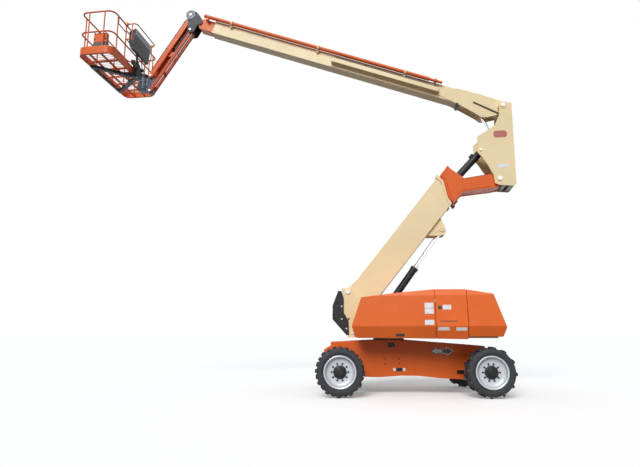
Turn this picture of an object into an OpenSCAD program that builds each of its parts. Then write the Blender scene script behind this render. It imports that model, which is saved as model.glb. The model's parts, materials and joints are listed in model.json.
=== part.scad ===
// Self-propelled articulating boom lift, in millimetres.
// X runs along the chassis, Y across it, Z up; the slew axis stands on the origin, on the ground.

/* [Chassis] */
// Distance between the two axles
wheelbase = 3050; // [2900:10:3200]
// Width over the tyres
overall_width = 2490; // [2400:10:2600]
// Distance from the drive axle to the slew axis
drive_axle_setback = 1120; // [1050:10:1180]
// Width of the chassis box
frame_width = 900; // [840:10:960]
// Height of the chassis deck
deck_height = 1140; // [1120:5:1150]
// Plate thickness of the chassis box
frame_plate = 20; // [12:1:25]

/* [Wheels] */
// Diameter over the tyre lugs
tyre_diameter = 1020; // [1000:10:1040]
// Width over the tyre's sidewalls
tyre_width = 380; // [360:5:400]
// Diameter of the rim at the tyre's bead
rim_diameter = 640; // [620:10:660]
// Lugs on each side of a tyre
lug_count = 12; // [10:1:14]
// Length of a lug round the tyre
lug_length = 52; // [44:1:60]
// Wheel bolts
wheel_bolts = 10; // [8:1:12]
// Radius of the wheel bolt circle
bolt_circle_radius = 172; // [165:1:180]

/* [Steering] */
// Distance of each kingpin from the middle
kingpin_offset = 800; // [790:5:810]
// Length of the steering arms
steering_arm = 270; // [255:5:280]

/* [Turntable] */
// Angle the superstructure rests at, turned clockwise from above
rest_slew = 6; // [0:1:12]
// Half width over the hoods
hood_half_width = 1200; // [1150:10:1240]
// Half width of the open channel between the hoods
channel_half_width = 420; // [400:5:440]
// Sheet thickness of the hoods
hood_sheet = 24; // [16:1:30]
// Gap between neighbouring hood panels
panel_gap = 10; // [6:1:14]
// Thickness of the turntable floor
turntable_floor = 30; // [20:1:40]

/* [Tower boom] */
// Height of the tower boom's pivot
tower_pivot_height = 2219; // [2200:1:2240]
// Setback of the tower boom's pivot from the slew axis
tower_pivot_setback = 886; // [876:1:896]
// Angle of the tower boom above level at rest
tower_angle = 51.2; // [50:0.1:52.4]
// Width of the tower boom's outer tube
tower_width = 470; // [450:5:480]
// Depth of the tower boom's outer tube
tower_depth = 620; // [600:5:630]
// Length of the tower boom's outer tube along its top
tower_length = 3416; // [3390:2:3430]
// Wall of the tower boom's tubes
tower_wall = 12; // [8:1:14]

/* [Upright] */
// Distance between the outer faces of the upright's side plates
upright_width = 600; // [590:2:620]
// Thickness of the upright's side plates
upright_plate = 38; // [30:1:40]
// Height of the main boom's pin above the lower pin
upright_height = 1773; // [1760:1:1790]

/* [Main boom] */
// Angle of the main boom above level at rest
boom_angle = 21.2; // [20.4:0.1:22]
// Width of the main boom's outer tube
boom_width = 300; // [290:2:310]
// Height of the main boom's outer tube
boom_height = 330; // [320:2:340]
// Length of the main boom's outer tube from its pin
boom_length = 7665; // [7600:5:7700]
// Wall of the main boom's tubes
boom_wall = 10; // [8:1:12]
// Radius of the hose tube beside the main boom
push_tube_radius = 45; // [38:1:46]
// Links of the hose chain
chain_links = 38; // [30:1:42]

/* [Jib] */
// Length of the jib between its pins
jib_length = 1960; // [1930:5:1990]
// Angle of the jib below level at rest
jib_angle = 123; // [122:0.5:124]
// Distance between the upper and lower jib pins
jib_pin_spacing = 430; // [420:2:440]

/* [Platform] */
// Platform floor along the boom
platform_depth = 910; // [880:5:940]
// Platform floor across the boom
platform_width = 2440; // [2300:10:2500]
// Height of the top rail above the floor
rail_height = 1100; // [1050:10:1150]
// Radius of the rail tube
rail_radius = 19; // [16:1:22]
// Height of the toe board
toe_board = 150; // [120:5:170]
// Radius of the platform's corners
corner_radius = 180; // [140:10:200]
// Bars of the floor grating
floor_bars = 30; // [24:1:36]
// Reach of the guard hoop beyond the rail
hoop_reach = 280; // [240:10:300]

/* [Fits] */
// Radial running clearance of pins and rods
running = 0.05; // [0.03:0.01:0.1]
// Gap between a seated piece and its seat
seat = 0.3; // [0.2:0.1:0.5]
// Gap around telescoping tubes
slide_gap = 14; // [10:1:18]

/* [Hidden] */
$fa = 6;
$fs = 4;

// wheels
tyre_r = tyre_diameter / 2;
rim_r = rim_diameter / 2;
track_y = (overall_width - tyre_width) / 2;
drive_x = -drive_axle_setback;
steer_x = wheelbase - drive_axle_setback;
axle_z = tyre_r;
hub_stub = 55;
frame_y = frame_width / 2;

// superstructure
floor_z = deck_height + 50;
deck_top = floor_z + turntable_floor;
tower_x = -tower_pivot_setback;
tower_z = tower_pivot_height;
tower_y = tower_width / 2;
fly_y = tower_y - tower_wall - slide_gap;
tower_hi = 10;
fly_hi = tower_hi - tower_wall - slide_gap;
fly_lo = tower_hi - tower_depth + tower_wall + slide_gap;
plate_in = tower_y + 20;
plate_out = plate_in + 40;
hinge_z = 2060;
hinge_x = [250, 700, 1030, 1500];
hinge_top = [2112, 2151, 2172, 2168];

// pins in the tower boom's frame, along and across it
lift_u = 2460;
lift_w = -800;
level_u = tower_length - 816;
level_w = -250;
knee_u = tower_length + 741;
knee_w = -1132;

// lower pin of the upright
knee_x = tower_x + knee_u * cos(tower_angle) - knee_w * sin(tower_angle);
knee_z = tower_z + knee_u * sin(tower_angle) + knee_w * cos(tower_angle);
up_out = upright_width / 2;
up_in = up_out - upright_plate;

// main boom pin and tip
boom_x = knee_x + 173;
boom_z = knee_z + upright_height;
boom_y = boom_width / 2;
boom_hi = boom_height * 14 / 33;
boom_lo = boom_hi - boom_height;
bfly_y = boom_y - boom_wall - slide_gap + 2;
bfly_hi = boom_hi - boom_wall - slide_gap + 2;
bfly_lo = boom_lo + boom_wall + slide_gap - 2;
tip_s = boom_length + 445;
tube_y = -boom_y - push_tube_radius - 20;
tube_p = boom_hi + 25;
head_reach = 232;
head_s = tip_s + head_reach;
head_pin = [head_reach * cos(boom_angle), -head_reach * sin(boom_angle)];
head_x = boom_x - head_s * cos(boom_angle);
head_z = boom_z + head_s * sin(boom_angle);

// jib pins
jib_hi_x = head_x - 30;
jib_hi_z = head_z + 140;
jib_lo_z = jib_hi_z - jib_pin_spacing;
jib_end_x = jib_hi_x + jib_length * cos(jib_angle);
jib_end_z = jib_hi_z - jib_length * sin(jib_angle);
jib_in = 60;
jib_out = 110;

// platform
rotate_x = jib_end_x - 229;
plat_in = rotate_x - 270;
plat_out = plat_in - platform_depth;
plat_z = jib_end_z + 66;
plat_top = plat_z + 50;
plat_y = platform_width / 2;
rail_inset = 20;
toe_sheet = rail_inset - rail_radius + 3 - seat;
rail_in = plat_in - rail_inset;
rail_out = plat_out + rail_inset;
rail_y = plat_y - rail_inset;
rail_bend = corner_radius - rail_inset;
rail_top = plat_top + rail_height;
rail_mid = plat_top + rail_height / 2;
hose_clamps = [boom_length - 5265, boom_length - 2965, boom_length - 505];
arm_top = plat_z - seat;
arm_low = plat_z - 74;

// lift cylinders: base pin, rod pin
tl_base = [-414, 1322];
tl_pin = [tower_x + lift_u * cos(tower_angle) - lift_w * sin(tower_angle),
    tower_z + lift_u * sin(tower_angle) + lift_w * cos(tower_angle)];
ul_base = [knee_x - 382, knee_z + 703];
ul_pin = [tower_x + level_u * cos(tower_angle) - level_w * sin(tower_angle),
    tower_z + level_u * sin(tower_angle) + level_w * cos(tower_angle)];
ml_base = [knee_x + 120, knee_z + 560];
ml_pin = [boom_x - 350 * cos(boom_angle) - 290 * sin(boom_angle),
    boom_z + 350 * sin(boom_angle) - 290 * cos(boom_angle)];
jl_base = [jib_hi_x + 40, jib_hi_z - 180];
jl_pin = [jib_hi_x + 1180 * cos(jib_angle) + 130 * sin(jib_angle),
    jib_hi_z - 1180 * sin(jib_angle) + 130 * cos(jib_angle)];

orange = [0.86, 0.27, 0.08];
beige = [0.72, 0.66, 0.50];
black = [0.07, 0.07, 0.07];
steel = [0.80, 0.80, 0.82];
grey = [0.25, 0.26, 0.28];
silver = [0.62, 0.62, 0.62];

// Prism of an X-Z outline between two Y planes.
module slab(points, y0, y1) {
    translate([0, y1, 0])
        rotate([90, 0, 0])
            linear_extrude(height = y1 - y0)
                polygon(points);
}

// The same prism on both sides of the middle.
module slabs(points, y0, y1) {
    slab(points, y0, y1);
    slab(points, -y1, -y0);
}

// Round bar along Y.
module bar(x, z, r, y0, y1) {
    translate([x, y1, z])
        rotate([90, 0, 0])
            cylinder(r = r, h = y1 - y0);
}

module bars(x, z, r, y0, y1) {
    bar(x, z, r, y0, y1);
    bar(x, z, r, -y1, -y0);
}

// Block between two corners.
module block(a, b) {
    translate(a)
        cube(b - a);
}

// Round tube between two points.
module rod(a, b, r) {
    d = b - a;
    l = norm(d);
    translate(a)
        rotate([0, acos(d[2] / l), atan2(d[1], d[0])])
            cylinder(r = r, h = l);
}

module far_side(side) {
    if (side > 0)
        mirror([0, 1, 0]) children();
    else
        children();
}

module slewed() {
    rotate([0, 0, -rest_slew]) children();
}

module on_tower() {
    translate([tower_x, 0, tower_z])
        rotate([0, -tower_angle, 0]) children();
}

module on_boom() {
    translate([boom_x, 0, boom_z])
        rotate([0, boom_angle, 0])
            mirror([1, 0, 0]) children();
}

module on_upright() {
    translate([knee_x, 0, knee_z]) children();
}

module on_jib(z) {
    translate([jib_hi_x, 0, z])
        rotate([0, jib_angle, 0]) children();
}

module on_line(a, b) {
    translate([a[0], 0, a[1]])
        rotate([0, -atan2(b[1] - a[1], b[0] - a[0]), 0]) children();
}

// Wheels.
module tyre(x, side) {
    h = tyre_width / 2;
    base = tyre_r - 34;
    far_side(side)
        translate([x, -track_y, axle_z])
            rotate([90, 0, 0]) {
                rotate_extrude()
                    polygon([[rim_r, -h + 25], [rim_r + 18, -h + 22], [rim_r + 45, -h + 6],
                        [base - 70, -h], [base - 16, -h + 18], [base, -h + 40],
                        [base, h - 40], [base - 16, h - 18], [base - 70, h],
                        [rim_r + 45, h - 6], [rim_r + 18, h - 22], [rim_r, h - 25]]);
                for (i = [0 : lug_count - 1]) {
                    rotate([0, 0, i * 360 / lug_count])
                        lug(h, base);
                    rotate([0, 0, (i + 0.5) * 360 / lug_count])
                        mirror([0, 0, 1])
                            lug(h, base);
                }
            }
}

module lug(h, base) {
    rotate([14, 0, 0])
        translate([0, lug_length / 2, 0])
            rotate([90, 0, 0])
                linear_extrude(height = lug_length)
                    polygon([[base - 14, 2], [tyre_r - 1, 2], [tyre_r - 1, h - 36],
                        [tyre_r - 22, h - 10], [base - 50, h - 6], [base - 50, h - 26], [base - 14, h - 46]]);
}

module rim(x, side) {
    h = tyre_width / 2;
    far_side(side)
        translate([x, -track_y, axle_z])
            rotate([90, 0, 0])
                difference() {
                    union() {
                        rotate_extrude()
                            polygon([[rim_r - 20, -h + 5], [rim_r + 14, -h + 5], [rim_r + 14, -h + 19],
                                [rim_r - 1, -h + 23], [rim_r - 1, h - 23], [rim_r + 14, h - 19],
                                [rim_r + 14, h - 5], [rim_r - 20, h - 5], [rim_r - 28, h - 60],
                                [rim_r - 80, h - 88], [rim_r - 110, h - 96], [0, h - 96],
                                [0, h - 122], [rim_r - 90, h - 122], [rim_r - 20, h - 100]]);
                        cylinder(r = 138, h = h - 70);
                        translate([0, 0, h - 72])
                            cylinder(r = 86, h = 46);
                        for (i = [0 : wheel_bolts - 1])
                            rotate([0, 0, i * 360 / wheel_bolts])
                                translate([bolt_circle_radius, 0, h - 100])
                                    cylinder(r = 15, h = 34);
                    }
                    translate([0, 0, -10])
                        cylinder(r = 160, h = h - 122 + 10);
                    cylinder(r = 45 + running, h = h - 64);
                }
}

// Chassis.
module chassis_frame() {
    t = frame_plate;
    outline = [[-1308, deck_height - 47], [-400, deck_height], [400, deck_height], [2014, 1017],
        [2100, 900], [2100, 640], [1640, 640], [1563, 312], [1061, 332], [606, 382], [220, 386],
        [-253, 351], [-598, 358], [-700, 640], [-1400, 640], [-1461, 928], [-1308, 1013]];
    inner = [[-1288, deck_height - 67], [-400, deck_height - 20], [398, deck_height - 20], [2000, 997],
        [2080, 890], [2080, 660], [1625, 660], [1545, 333], [1061, 353], [606, 403], [220, 407],
        [-253, 372], [-580, 379], [-685, 660], [-1382, 660], [-1441, 922], [-1288, 1000]];
    color(orange)
        difference() {
            slab(outline, -frame_y, frame_y);
            slab(inner, -frame_y + t, frame_y - t);
            block([-63, -frame_y - 5, 983], [86, -frame_y + t + 5, 1085]);
            block([-120, -200, 300], [500, 200, 420]);
            for (x = [-132, 174])
                for (z = [640, 740])
                    bar(x, z, 14, -frame_y - 5, frame_y + 5);
            bar(170, 514, 32, -frame_y - 5, frame_y + 5);
        }
}

module axle_drive() {
    color(black) {
        block([drive_x - 110, -700, axle_z - 110], [drive_x + 110, 700, axle_z + 100]);
        block([drive_x - 160, -300, axle_z + 60], [drive_x + 160, 300, 640]);
        bars(drive_x, axle_z, 150, 690, track_y + tyre_width / 2 - 132);
        bars(drive_x, axle_z, 190, 690, 760);
        bars(drive_x, axle_z, 45, 690, track_y + tyre_width / 2 - 132 + hub_stub);
        bar(drive_x + 60, axle_z, 122, -160, 160);
    }
}

module axle_steer() {
    k = kingpin_offset;
    color(black) {
        block([steer_x - 110, -k + 125, axle_z - 100], [steer_x + 110, k - 125, axle_z + 90]);
        block([steer_x - 150, -220, axle_z + 60], [steer_x + 150, 220, 640]);
        for (y = [-k, k])
            for (z = [axle_z - 140, axle_z + 115]) {
                translate([steer_x, y, z])
                    cylinder(r = 55, h = 25);
                block([steer_x - 55, min(y, y - sign(y) * 180), z], [steer_x + 55, max(y, y - sign(y) * 180), z + 25]);
            }
        for (y = [-k, k])
            translate([steer_x, y, axle_z - 130])
                cylinder(r = 38, h = 260);
        for (s = [-1, 1])
            block([steer_x - 55, s < 0 ? -k + 100 : k - 180, axle_z - 140],
                [steer_x + 55, s < 0 ? -k + 180 : k - 100, axle_z + 140]);
    }
}

module knuckle(side) {
    k = kingpin_offset;
    color(black)
        translate([steer_x, side * k, axle_z])
            difference() {
                union() {
                    translate([0, 0, -105])
                        cylinder(r = 75, h = 210);
                    block([0, -22, -18], [steering_arm, 22, 12]);
                    translate([steering_arm, 0, -18])
                        cylinder(r = 34, h = 30);
                    translate([steering_arm, 0, -20])
                        cylinder(r = 14, h = 74);
                    if (side < 0)
                        spindle(-1);
                    else
                        spindle(1);
                }
                translate([0, 0, -110])
                    cylinder(r = 38 + running, h = 220);
            }
}

module spindle(s) {
    out = track_y + tyre_width / 2 - 132 - kingpin_offset;
    if (s < 0) {
        bar(0, 0, 45, -out - hub_stub, -60);
        bar(0, 0, 90, -out, -60);
        bar(0, 0, 150, -out, -68);
    } else {
        bar(0, 0, 45, 60, out + hub_stub);
        bar(0, 0, 90, 60, out);
        bar(0, 0, 150, 68, out);
    }
}

module tie_rod() {
    k = kingpin_offset;
    color(grey)
        translate([steer_x + steering_arm, 0, axle_z]) {
            difference() {
                union() {
                    for (s = [-1, 1])
                        translate([0, s * k, 18])
                            cylinder(r = 30, h = 30);
                    bar(0, 33, 15, -k + 20, k - 20);
                }
                for (s = [-1, 1])
                    translate([0, s * k, 0])
                        cylinder(r = 14 + running, h = 60);
            }
        }
}

module slew_ring() {
    color(black)
        translate([0, 0, deck_height])
            difference() {
                cylinder(r = 350, h = 18);
                translate([0, 0, -1])
                    cylinder(r = 240, h = 20);
            }
}

// Turntable.
module turntable_frame() {
    cheek = [[tower_x - 145, tower_z + 74], [tower_x + 92, tower_z + 80], [tower_x + 330, tower_z - 180],
        [-250, 1700], [150, deck_top], [-890, deck_top], [-880, 1560], [-1000, 1740], [-1010, 2060]];
    c = channel_half_width;
    color(beige)
        slewed() {
            difference() {
                slabs(cheek, plate_in, plate_out);
                bar(-870, 1602, 26, -plate_out - 5, plate_out + 5);
            }
            translate([0, 0, deck_height + 18 + seat])
                cylinder(r = 345, h = floor_z - deck_height - 15);
            block([-640, -1040, floor_z], [2200, 1040, deck_top]);
            block([-905, -plate_out, floor_z], [-600, plate_out, deck_top]);
            for (s = [-1, 1])
                far_side(s) {
                    block([-640, -c + 8, deck_top - 1], [1590, -c + 20, 1960]);
                    for (x = hinge_x)
                        hinge_lugs(x);
                }
            bar(tower_x, tower_z, 60, -plate_out - 14, plate_out + 14);
            bar(-780, 1300, 50, -plate_in - 5, plate_in + 5);
            bar(tl_base[0], tl_base[1], 40, -plate_in - 5, plate_in + 5);
        }
}

module hinge_lugs(x) {
    c = channel_half_width;
    for (dx = [-42, 42])
        block([x + dx, -c + 5, 1950], [x + dx + 40, -c + 28, hinge_z + 14]);
    translate([x - 42, -c + 14, hinge_z])
        rotate([0, 90, 0])
            cylinder(r = 7, h = 124);
}

module hinge_leaf(x, top) {
    c = channel_half_width;
    difference() {
        block([x, -c - 24, hinge_z - 14], [x + 40, -c + 27, top]);
        translate([x - 5, -c + 14, hinge_z])
            rotate([0, 90, 0])
                cylinder(r = 7 + running, h = 50);
    }
}

module tower_guard() {
    outline = [[-1107, 2239], [-1036, 2231], [-985, 2071], [-985, 1743], [-880, 1560], [-872, 1240],
        [-930, 1242], [-1244, 1596], [-1238, 1913]];
    color(black)
        slewed()
            slabs(outline, plate_out, plate_out + 18);
}

hood_side = [[-746, 1436], [-545, 2029], [131, 2114], [965, 2186], [1589, 2179], [2137, 2081],
    [2354, 1406], [2262, 1160], [-681, 1201]];
hood_core = [[-719, 1438], [-527, 2007], [133, 2090], [966, 2162], [1587, 2155], [2118, 2060],
    [2328, 1408], [2240, 1100], [-655, 1100]];

module hood_solid(inset) {
    y = hood_half_width - inset;
    intersection() {
        slab(inset > 0 ? hood_core : hood_side, -hood_half_width - 5, -channel_half_width + inset);
        translate([-1000, 0, 0])
            rotate([90, 0, 90])
                linear_extrude(height = 4000)
                    polygon([[-channel_half_width + inset, 1050], [-channel_half_width + inset, 2300],
                        [-y + 150, 2300], [-y + 50, 2060], [-y, 1430], [-y + 100, 1150], [-y + 100, 1050]]);
    }
}

module hood_panel(side, x0, x1) {
    color(orange)
        slewed()
            far_side(side) {
                intersection() {
                    difference() {
                        hood_solid(0);
                        hood_solid(hood_sheet);
                    }
                    block([x0, -hood_half_width - 50, 1100], [x1, -channel_half_width + 5, 2250]);
                }
                for (i = [0 : 3])
                    if (hinge_x[i] > x0 && hinge_x[i] < x1)
                        hinge_leaf(hinge_x[i], hinge_top[i]);
            }
}

module counterweight() {
    color(orange)
        slewed() {
            for (s = [-1, 1])
                far_side(s)
                    intersection() {
                        hood_solid(0);
                        block([1607 + panel_gap / 2, -hood_half_width - 50, deck_top], [2400, -channel_half_width + 5, 2250]);
                    }
            block([1750, -channel_half_width - 50, deck_top], [2250, channel_half_width + 50, 1480]);
        }
}

module engine_block() {
    color(grey)
        slewed()
            block([-250, 480, deck_top], [850, 1000, 1800]);
}

// Tower boom.
module tower_base() {
    d = tower_hi - tower_depth;
    color(beige)
        slewed()
            on_tower()
                difference() {
                    union() {
                        tower_tube();
                        tower_pads();
                    }
                    bar(0, 0, 60 + running, -tower_y - 5, tower_y + 5);
                    block([-200, -tower_y + 60, d - 5], [78, tower_y - 60, 100]);
                }
}

// Wear pads between the tower boom's tubes.
module tower_pads() {
    g = slide_gap - seat;
    u = tower_length - 620;
    for (s = [-1, 1])
        far_side(s)
            block([u, -fly_y - g - 1, fly_hi - 250], [u + 120, -fly_y - seat, fly_hi - 80]);
    block([u, -120, fly_hi + seat], [u + 120, 120, fly_hi + g + 1]);
    block([u, -120, fly_lo - g - 1], [u + 120, 120, fly_lo - seat]);
}

module tower_tube() {
    d = tower_hi - tower_depth;
    t = tower_wall;
    l = tower_length;
    difference() {
        union() {
            slab([[80, tower_hi], [l - 4, tower_hi], [l - 420, d], [200, d], [120, d + 120]], -tower_y, tower_y);
            // pivot cheeks
            slabs([[-90, 60], [20, 95], [110, 40], [420, 5], [420, d + 60], [260, d + 30], [-60, -90], [-110, -20]],
                tower_y - 60, tower_y);
            // collar plates at the slanted mouth
            slabs([[l, 59], [l - 29, -146], [l - 287, -455], [l - 352, d - 16], [l - 443, d - 21],
                [l - 330, -440], [l - 90, -130], [l - 70, 50]], tower_y - 5, tower_y + 22);
            slab([[l - 70, tower_hi], [l, tower_hi], [l, 40], [l - 70, 40]], -tower_y, tower_y);
            // lift cylinder lugs
            slabs([[lift_u - 342, d + 5], [lift_u - 160, lift_w - 40], [lift_u - 77, lift_w - 115],
                [lift_u + 10, lift_w - 112], [lift_u + 100, lift_w], [lift_u + 203, d + 5]], 130, 165);
            bars(lift_u, lift_w, 62, 150, 182);
        }
        slab([[210, tower_hi - t], [l + 200, tower_hi - t], [l + 200, d + t], [210, d + t]],
            -tower_y + t, tower_y - t);
    }
}

module tower_fly() {
    l = tower_length;
    color(orange)
        slewed()
            on_tower()
                difference() {
                    union() {
                        difference() {
                            block([450, -fly_y, fly_lo], [l + 310, fly_y, fly_hi]);
                            block([400, -fly_y + 10, fly_lo + 10], [l + 400, fly_y - 10, fly_hi - 10]);
                            block([l - 320, -fly_y + 10, fly_lo - 5], [l - 60, fly_y - 10, fly_lo + 15]);
                        }
                        slabs([[l + 324, -4], [l + 34, -28], [l + 10, -141], [l - 248, -448], [l - 316, -640],
                            [l - 300, -688], [l - 149, -649], [l + 29, -661], [l + 499, -1140], [l + 640, -1262],
                            [l + 800, -1252], [l + 860, -1120], [l + 763, -936], [l + 290, -480], [l + 284, -200]],
                            fly_y - 5, fly_y + 30);
                        block([l + 50, -fly_y, -34], [l + 320, fly_y, -8]);
                        slab([[l - 290, -676], [l + 29, -650], [l + 499, -1130], [l + 640, -1240], [l + 660, -1210],
                            [l + 520, -1100], [l + 45, -615], [l - 290, -640]], -fly_y, fly_y);
                        bar(knee_u, knee_w, 105, -fly_y - 30, fly_y + 30);
                    }
                    bar(knee_u, knee_w, 50 + running, -fly_y - 40, fly_y + 40);
                }
}

module tower_lift_barrel() {
    l = norm(tl_pin - tl_base);
    color(black)
        slewed()
            on_line(tl_base, tl_pin)
                difference() {
                    union() {
                        bar(0, 0, 75, -90, 90);
                        rotate([0, 90, 0])
                            cylinder(r = 80, h = 1770);
                        translate([1730, 0, 0])
                            rotate([0, 90, 0])
                                cylinder(r = 90, h = 70);
                    }
                    bar(0, 0, 40 + running, -100, 100);
                    translate([110, 0, 0])
                        rotate([0, 90, 0])
                            cylinder(r = 45 + running, h = 1900);
                }
}

module tower_lift_rod() {
    l = norm(tl_pin - tl_base);
    color(steel)
        slewed()
            on_line(tl_base, tl_pin) {
                translate([l - 1400, 0, 0])
                    rotate([0, 90, 0])
                        cylinder(r = 45, h = 1360);
                bar(l, 0, 56, -105, 105);
            }
}

module level_barrel() {
    color(black)
        slewed()
            on_line(ul_base, ul_pin)
                difference() {
                    union() {
                        bar(0, 0, 72, -90, 90);
                        rotate([0, 90, 0])
                            cylinder(r = 84, h = 1080);
                        translate([1040, 0, 0])
                            rotate([0, 90, 0])
                                cylinder(r = 92, h = 60);
                    }
                    bar(0, 0, 28 + running, -95, 95);
                    translate([70, 0, 0])
                        rotate([0, 90, 0])
                            cylinder(r = 42 + running, h = 1100);
                }
}

module level_rod() {
    l = norm(ul_pin - ul_base);
    color(steel)
        slewed()
            on_line(ul_base, ul_pin) {
                translate([l - 1110, 0, 0])
                    rotate([0, 90, 0])
                        cylinder(r = 42, h = 1080);
                bar(l, 0, 60, -70, 70);
            }
}

// Upright.
module upright() {
    h = upright_height;
    outline = [[369, h + 47], [98, h + 82], [77, h - 247], [-28, h - 467], [-171, h - 584], [-440, h - 743],
        [-455, 643], [-361, 530], [-232, 310], [-132, 93], [-110, -105], [-20, -150], [295, -182], [352, -140]];
    color(beige)
        slewed()
            on_upright() {
                slabs(outline, up_in, up_out);
                slab([[318, -120], [350, -130], [356, h - 230], [326, h - 230]], -up_in - 2, up_in + 2);
                bar(0, 0, 50, -up_out - 16, up_out + 16);
                bar(173, h, 45, -up_out - 16, up_out + 16);
                bar(-382, 703, 28, -up_out - 12, up_out + 12);
                bar(120, 560, 30, -up_in - 5, up_in + 5);
                bars(173, h, 85, up_out - 4, up_out + 10);
            }
}

module main_lift_barrel() {
    color(black)
        slewed()
            on_line(ml_base, ml_pin)
                difference() {
                    union() {
                        bar(0, 0, 58, -75, 75);
                        rotate([0, 90, 0])
                            cylinder(r = 70, h = 730);
                        translate([690, 0, 0])
                            rotate([0, 90, 0])
                                cylinder(r = 78, h = 50);
                    }
                    bar(0, 0, 30 + running, -80, 80);
                    translate([80, 0, 0])
                        rotate([0, 90, 0])
                            cylinder(r = 40 + running, h = 900);
                }
}

module main_lift_rod() {
    l = norm(ml_pin - ml_base);
    color(steel)
        slewed()
            on_line(ml_base, ml_pin) {
                translate([l - 840, 0, 0])
                    rotate([0, 90, 0])
                        cylinder(r = 40, h = 810);
                bar(l, 0, 48, -62, 62);
            }
}

// Main boom, with the wear pads between its tubes.
module boom_pads() {
    g = slide_gap - 2 - seat;
    s0 = boom_length - 180;
    for (s = [-1, 1])
        far_side(s)
            block([s0, -bfly_y - g - 1, -110], [s0 + 150, -bfly_y - seat, 40]);
    block([s0, -80, bfly_hi + seat], [s0 + 150, 80, bfly_hi + g + 1]);
    block([s0, -80, bfly_lo - g - 1], [s0 + 150, 80, bfly_lo - seat]);
}

module main_base() {
    t = boom_wall;
    color(beige)
        slewed()
            on_boom() {
                boom_pads();
                difference() {
                    union() {
                        slab([[-60, boom_hi], [boom_length, boom_hi], [boom_length, boom_lo], [-30, boom_lo],
                            [-100, -110], [-125, -20], [-110, 70]], -boom_y, boom_y);
                        slabs([[20, boom_hi + 10], [560, boom_hi + 32], [1150, boom_hi + 16], [1500, boom_lo + 60], [940, boom_lo - 34],
                            [480, -330], [350, -375], [240, -330], [20, boom_lo - 5], [-60, -60], [-60, 60]], boom_y - 2, boom_y + 10);
                        slabs([[130, boom_lo + 5], [240, -330], [350, -372], [460, -330], [900, boom_lo + 5]], 72, 100);
                        bars(0, 0, 95, boom_y - 5, up_in - 6);
                        bars(350, -290, 46, 98, boom_y + 16);
                        for (s = hose_clamps)
                            translate([s, tube_y, tube_p])
                                rotate([0, 90, 0])
                                    cylinder(r = push_tube_radius + 18, h = 50);
                        for (s = hose_clamps)
                            block([s, tube_y, 60], [s + 50, -boom_y + 5, tube_p - push_tube_radius]);
                        for (s = hose_clamps)
                            block([s, tube_y, boom_hi - 30], [s + 50, -boom_y + 5, boom_hi]);
                    }
                    slab([[170, boom_hi - t], [boom_length + 5, boom_hi - t], [boom_length + 5, boom_lo + t], [170, boom_lo + t]],
                        -boom_y + t, boom_y - t);
                    bar(0, 0, 45 + running, -up_in, up_in);
                    for (s = hose_clamps)
                        translate([s - 5, tube_y, tube_p])
                            rotate([0, 90, 0])
                                cylinder(r = push_tube_radius + (s == hose_clamps[2] ? seat : 6), h = 60);
                }
            }
}

module hose_trough() {
    y0 = -boom_y - 126;
    y1 = -boom_y;
    p = 2660 / chain_links;
    color(beige)
        slewed()
            on_boom()
                difference() {
                    block([1520, y0, -105], [4280, y1, 0]);
                    block([1526, y0 + 5, -99], [4274, y1 - 5, 5]);
                }
    color(black)
        slewed()
            on_boom() {
                block([1540, y0 + 18, -100], [4260, y1 - 18, -20]);
                for (i = [0 : chain_links - 1])
                    block([1545 + i * p, y0 + 12, -30], [1545 + i * p + p - 12, y1 - 12, 26]);
            }
}

module main_fly() {
    color(orange)
        slewed()
            on_boom()
                difference() {
                    union() {
                        difference() {
                            block([1250, -bfly_y, bfly_lo], [tip_s - 75, bfly_y, bfly_hi]);
                            block([1200, -bfly_y + 8, bfly_lo + 8], [tip_s - 90, bfly_y - 8, bfly_hi - 8]);
                        }
                        slabs([[tip_s - 380, bfly_lo], [tip_s - 75, bfly_lo], [tip_s + 10, -72], [tip_s + 55, -50],
                            [tip_s + 72, 0], [tip_s + 55, 50], [tip_s + 10, 72], [tip_s - 75, bfly_hi], [tip_s - 380, bfly_hi]],
                            bfly_y - 30, bfly_y);
                        bars(tip_s, 0, 40, bfly_y - 34, bfly_y);
                        bar(tip_s, 0, 30, -bfly_y, bfly_y);
                        block([tip_s - 262, tube_y - 30, 70], [tip_s - 200, -bfly_y + 5, bfly_hi]);
                        block([tip_s - 262, tube_y - 30, 70], [tip_s - 200, tube_y + 30, tube_p - 20]);
                    }
                    translate([tip_s - 300, tube_y, tube_p])
                        rotate([0, 90, 0])
                            cylinder(r = push_tube_radius, h = 400);
                }
}

module push_tube() {
    color(orange)
        slewed()
            on_boom() {
                difference() {
                    translate([1823, tube_y, tube_p])
                        rotate([0, 90, 0])
                            cylinder(r = push_tube_radius, h = tip_s - 120 - 1823);
                    translate([1900, tube_y, tube_p])
                        rotate([0, 90, 0])
                            cylinder(r = push_tube_radius - 5, h = tip_s - 1823);
                }
                translate([1500, tube_y, tube_p])
                    rotate([0, 90, 0])
                        cylinder(r = push_tube_radius * 0.7, h = 330);
                translate([1640, tube_y, tube_p])
                    rotate([0, 90, 0])
                        cylinder(r = push_tube_radius + 6, h = 60);
            }
}

// Jib.
module jib_head() {
    plate = [[-110, 235], [30, 255], [150, 190], [230, 60], [292, -40], [300, -110], [250, -165], [180, -150],
        [60, -360], [-70, -362], [-104, -250], [-100, -60], [-130, 90], [-150, 170]];
    color(grey)
        slewed() {
            translate([head_x, 0, head_z])
                difference() {
                    union() {
                        slabs(plate, 134, 158);
                        block([60, -136, -70], [132, 136, 175]);
                        slab([[100, -130], [130, -140], [216, -144], [216, -24], [100, -30]], -84, 84);
                        bar(head_pin[0], head_pin[1], 60, -84, 84);
                        bars(-30, 140, 28, 56, 168);
                        bars(-30, 140 - jib_pin_spacing, 28, 56, 168);
                        bar(10, -40, 22, -140, 140);
                    }
                    bar(head_pin[0], head_pin[1], 30 + running, -130, 130);
                }
        }
}

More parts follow.
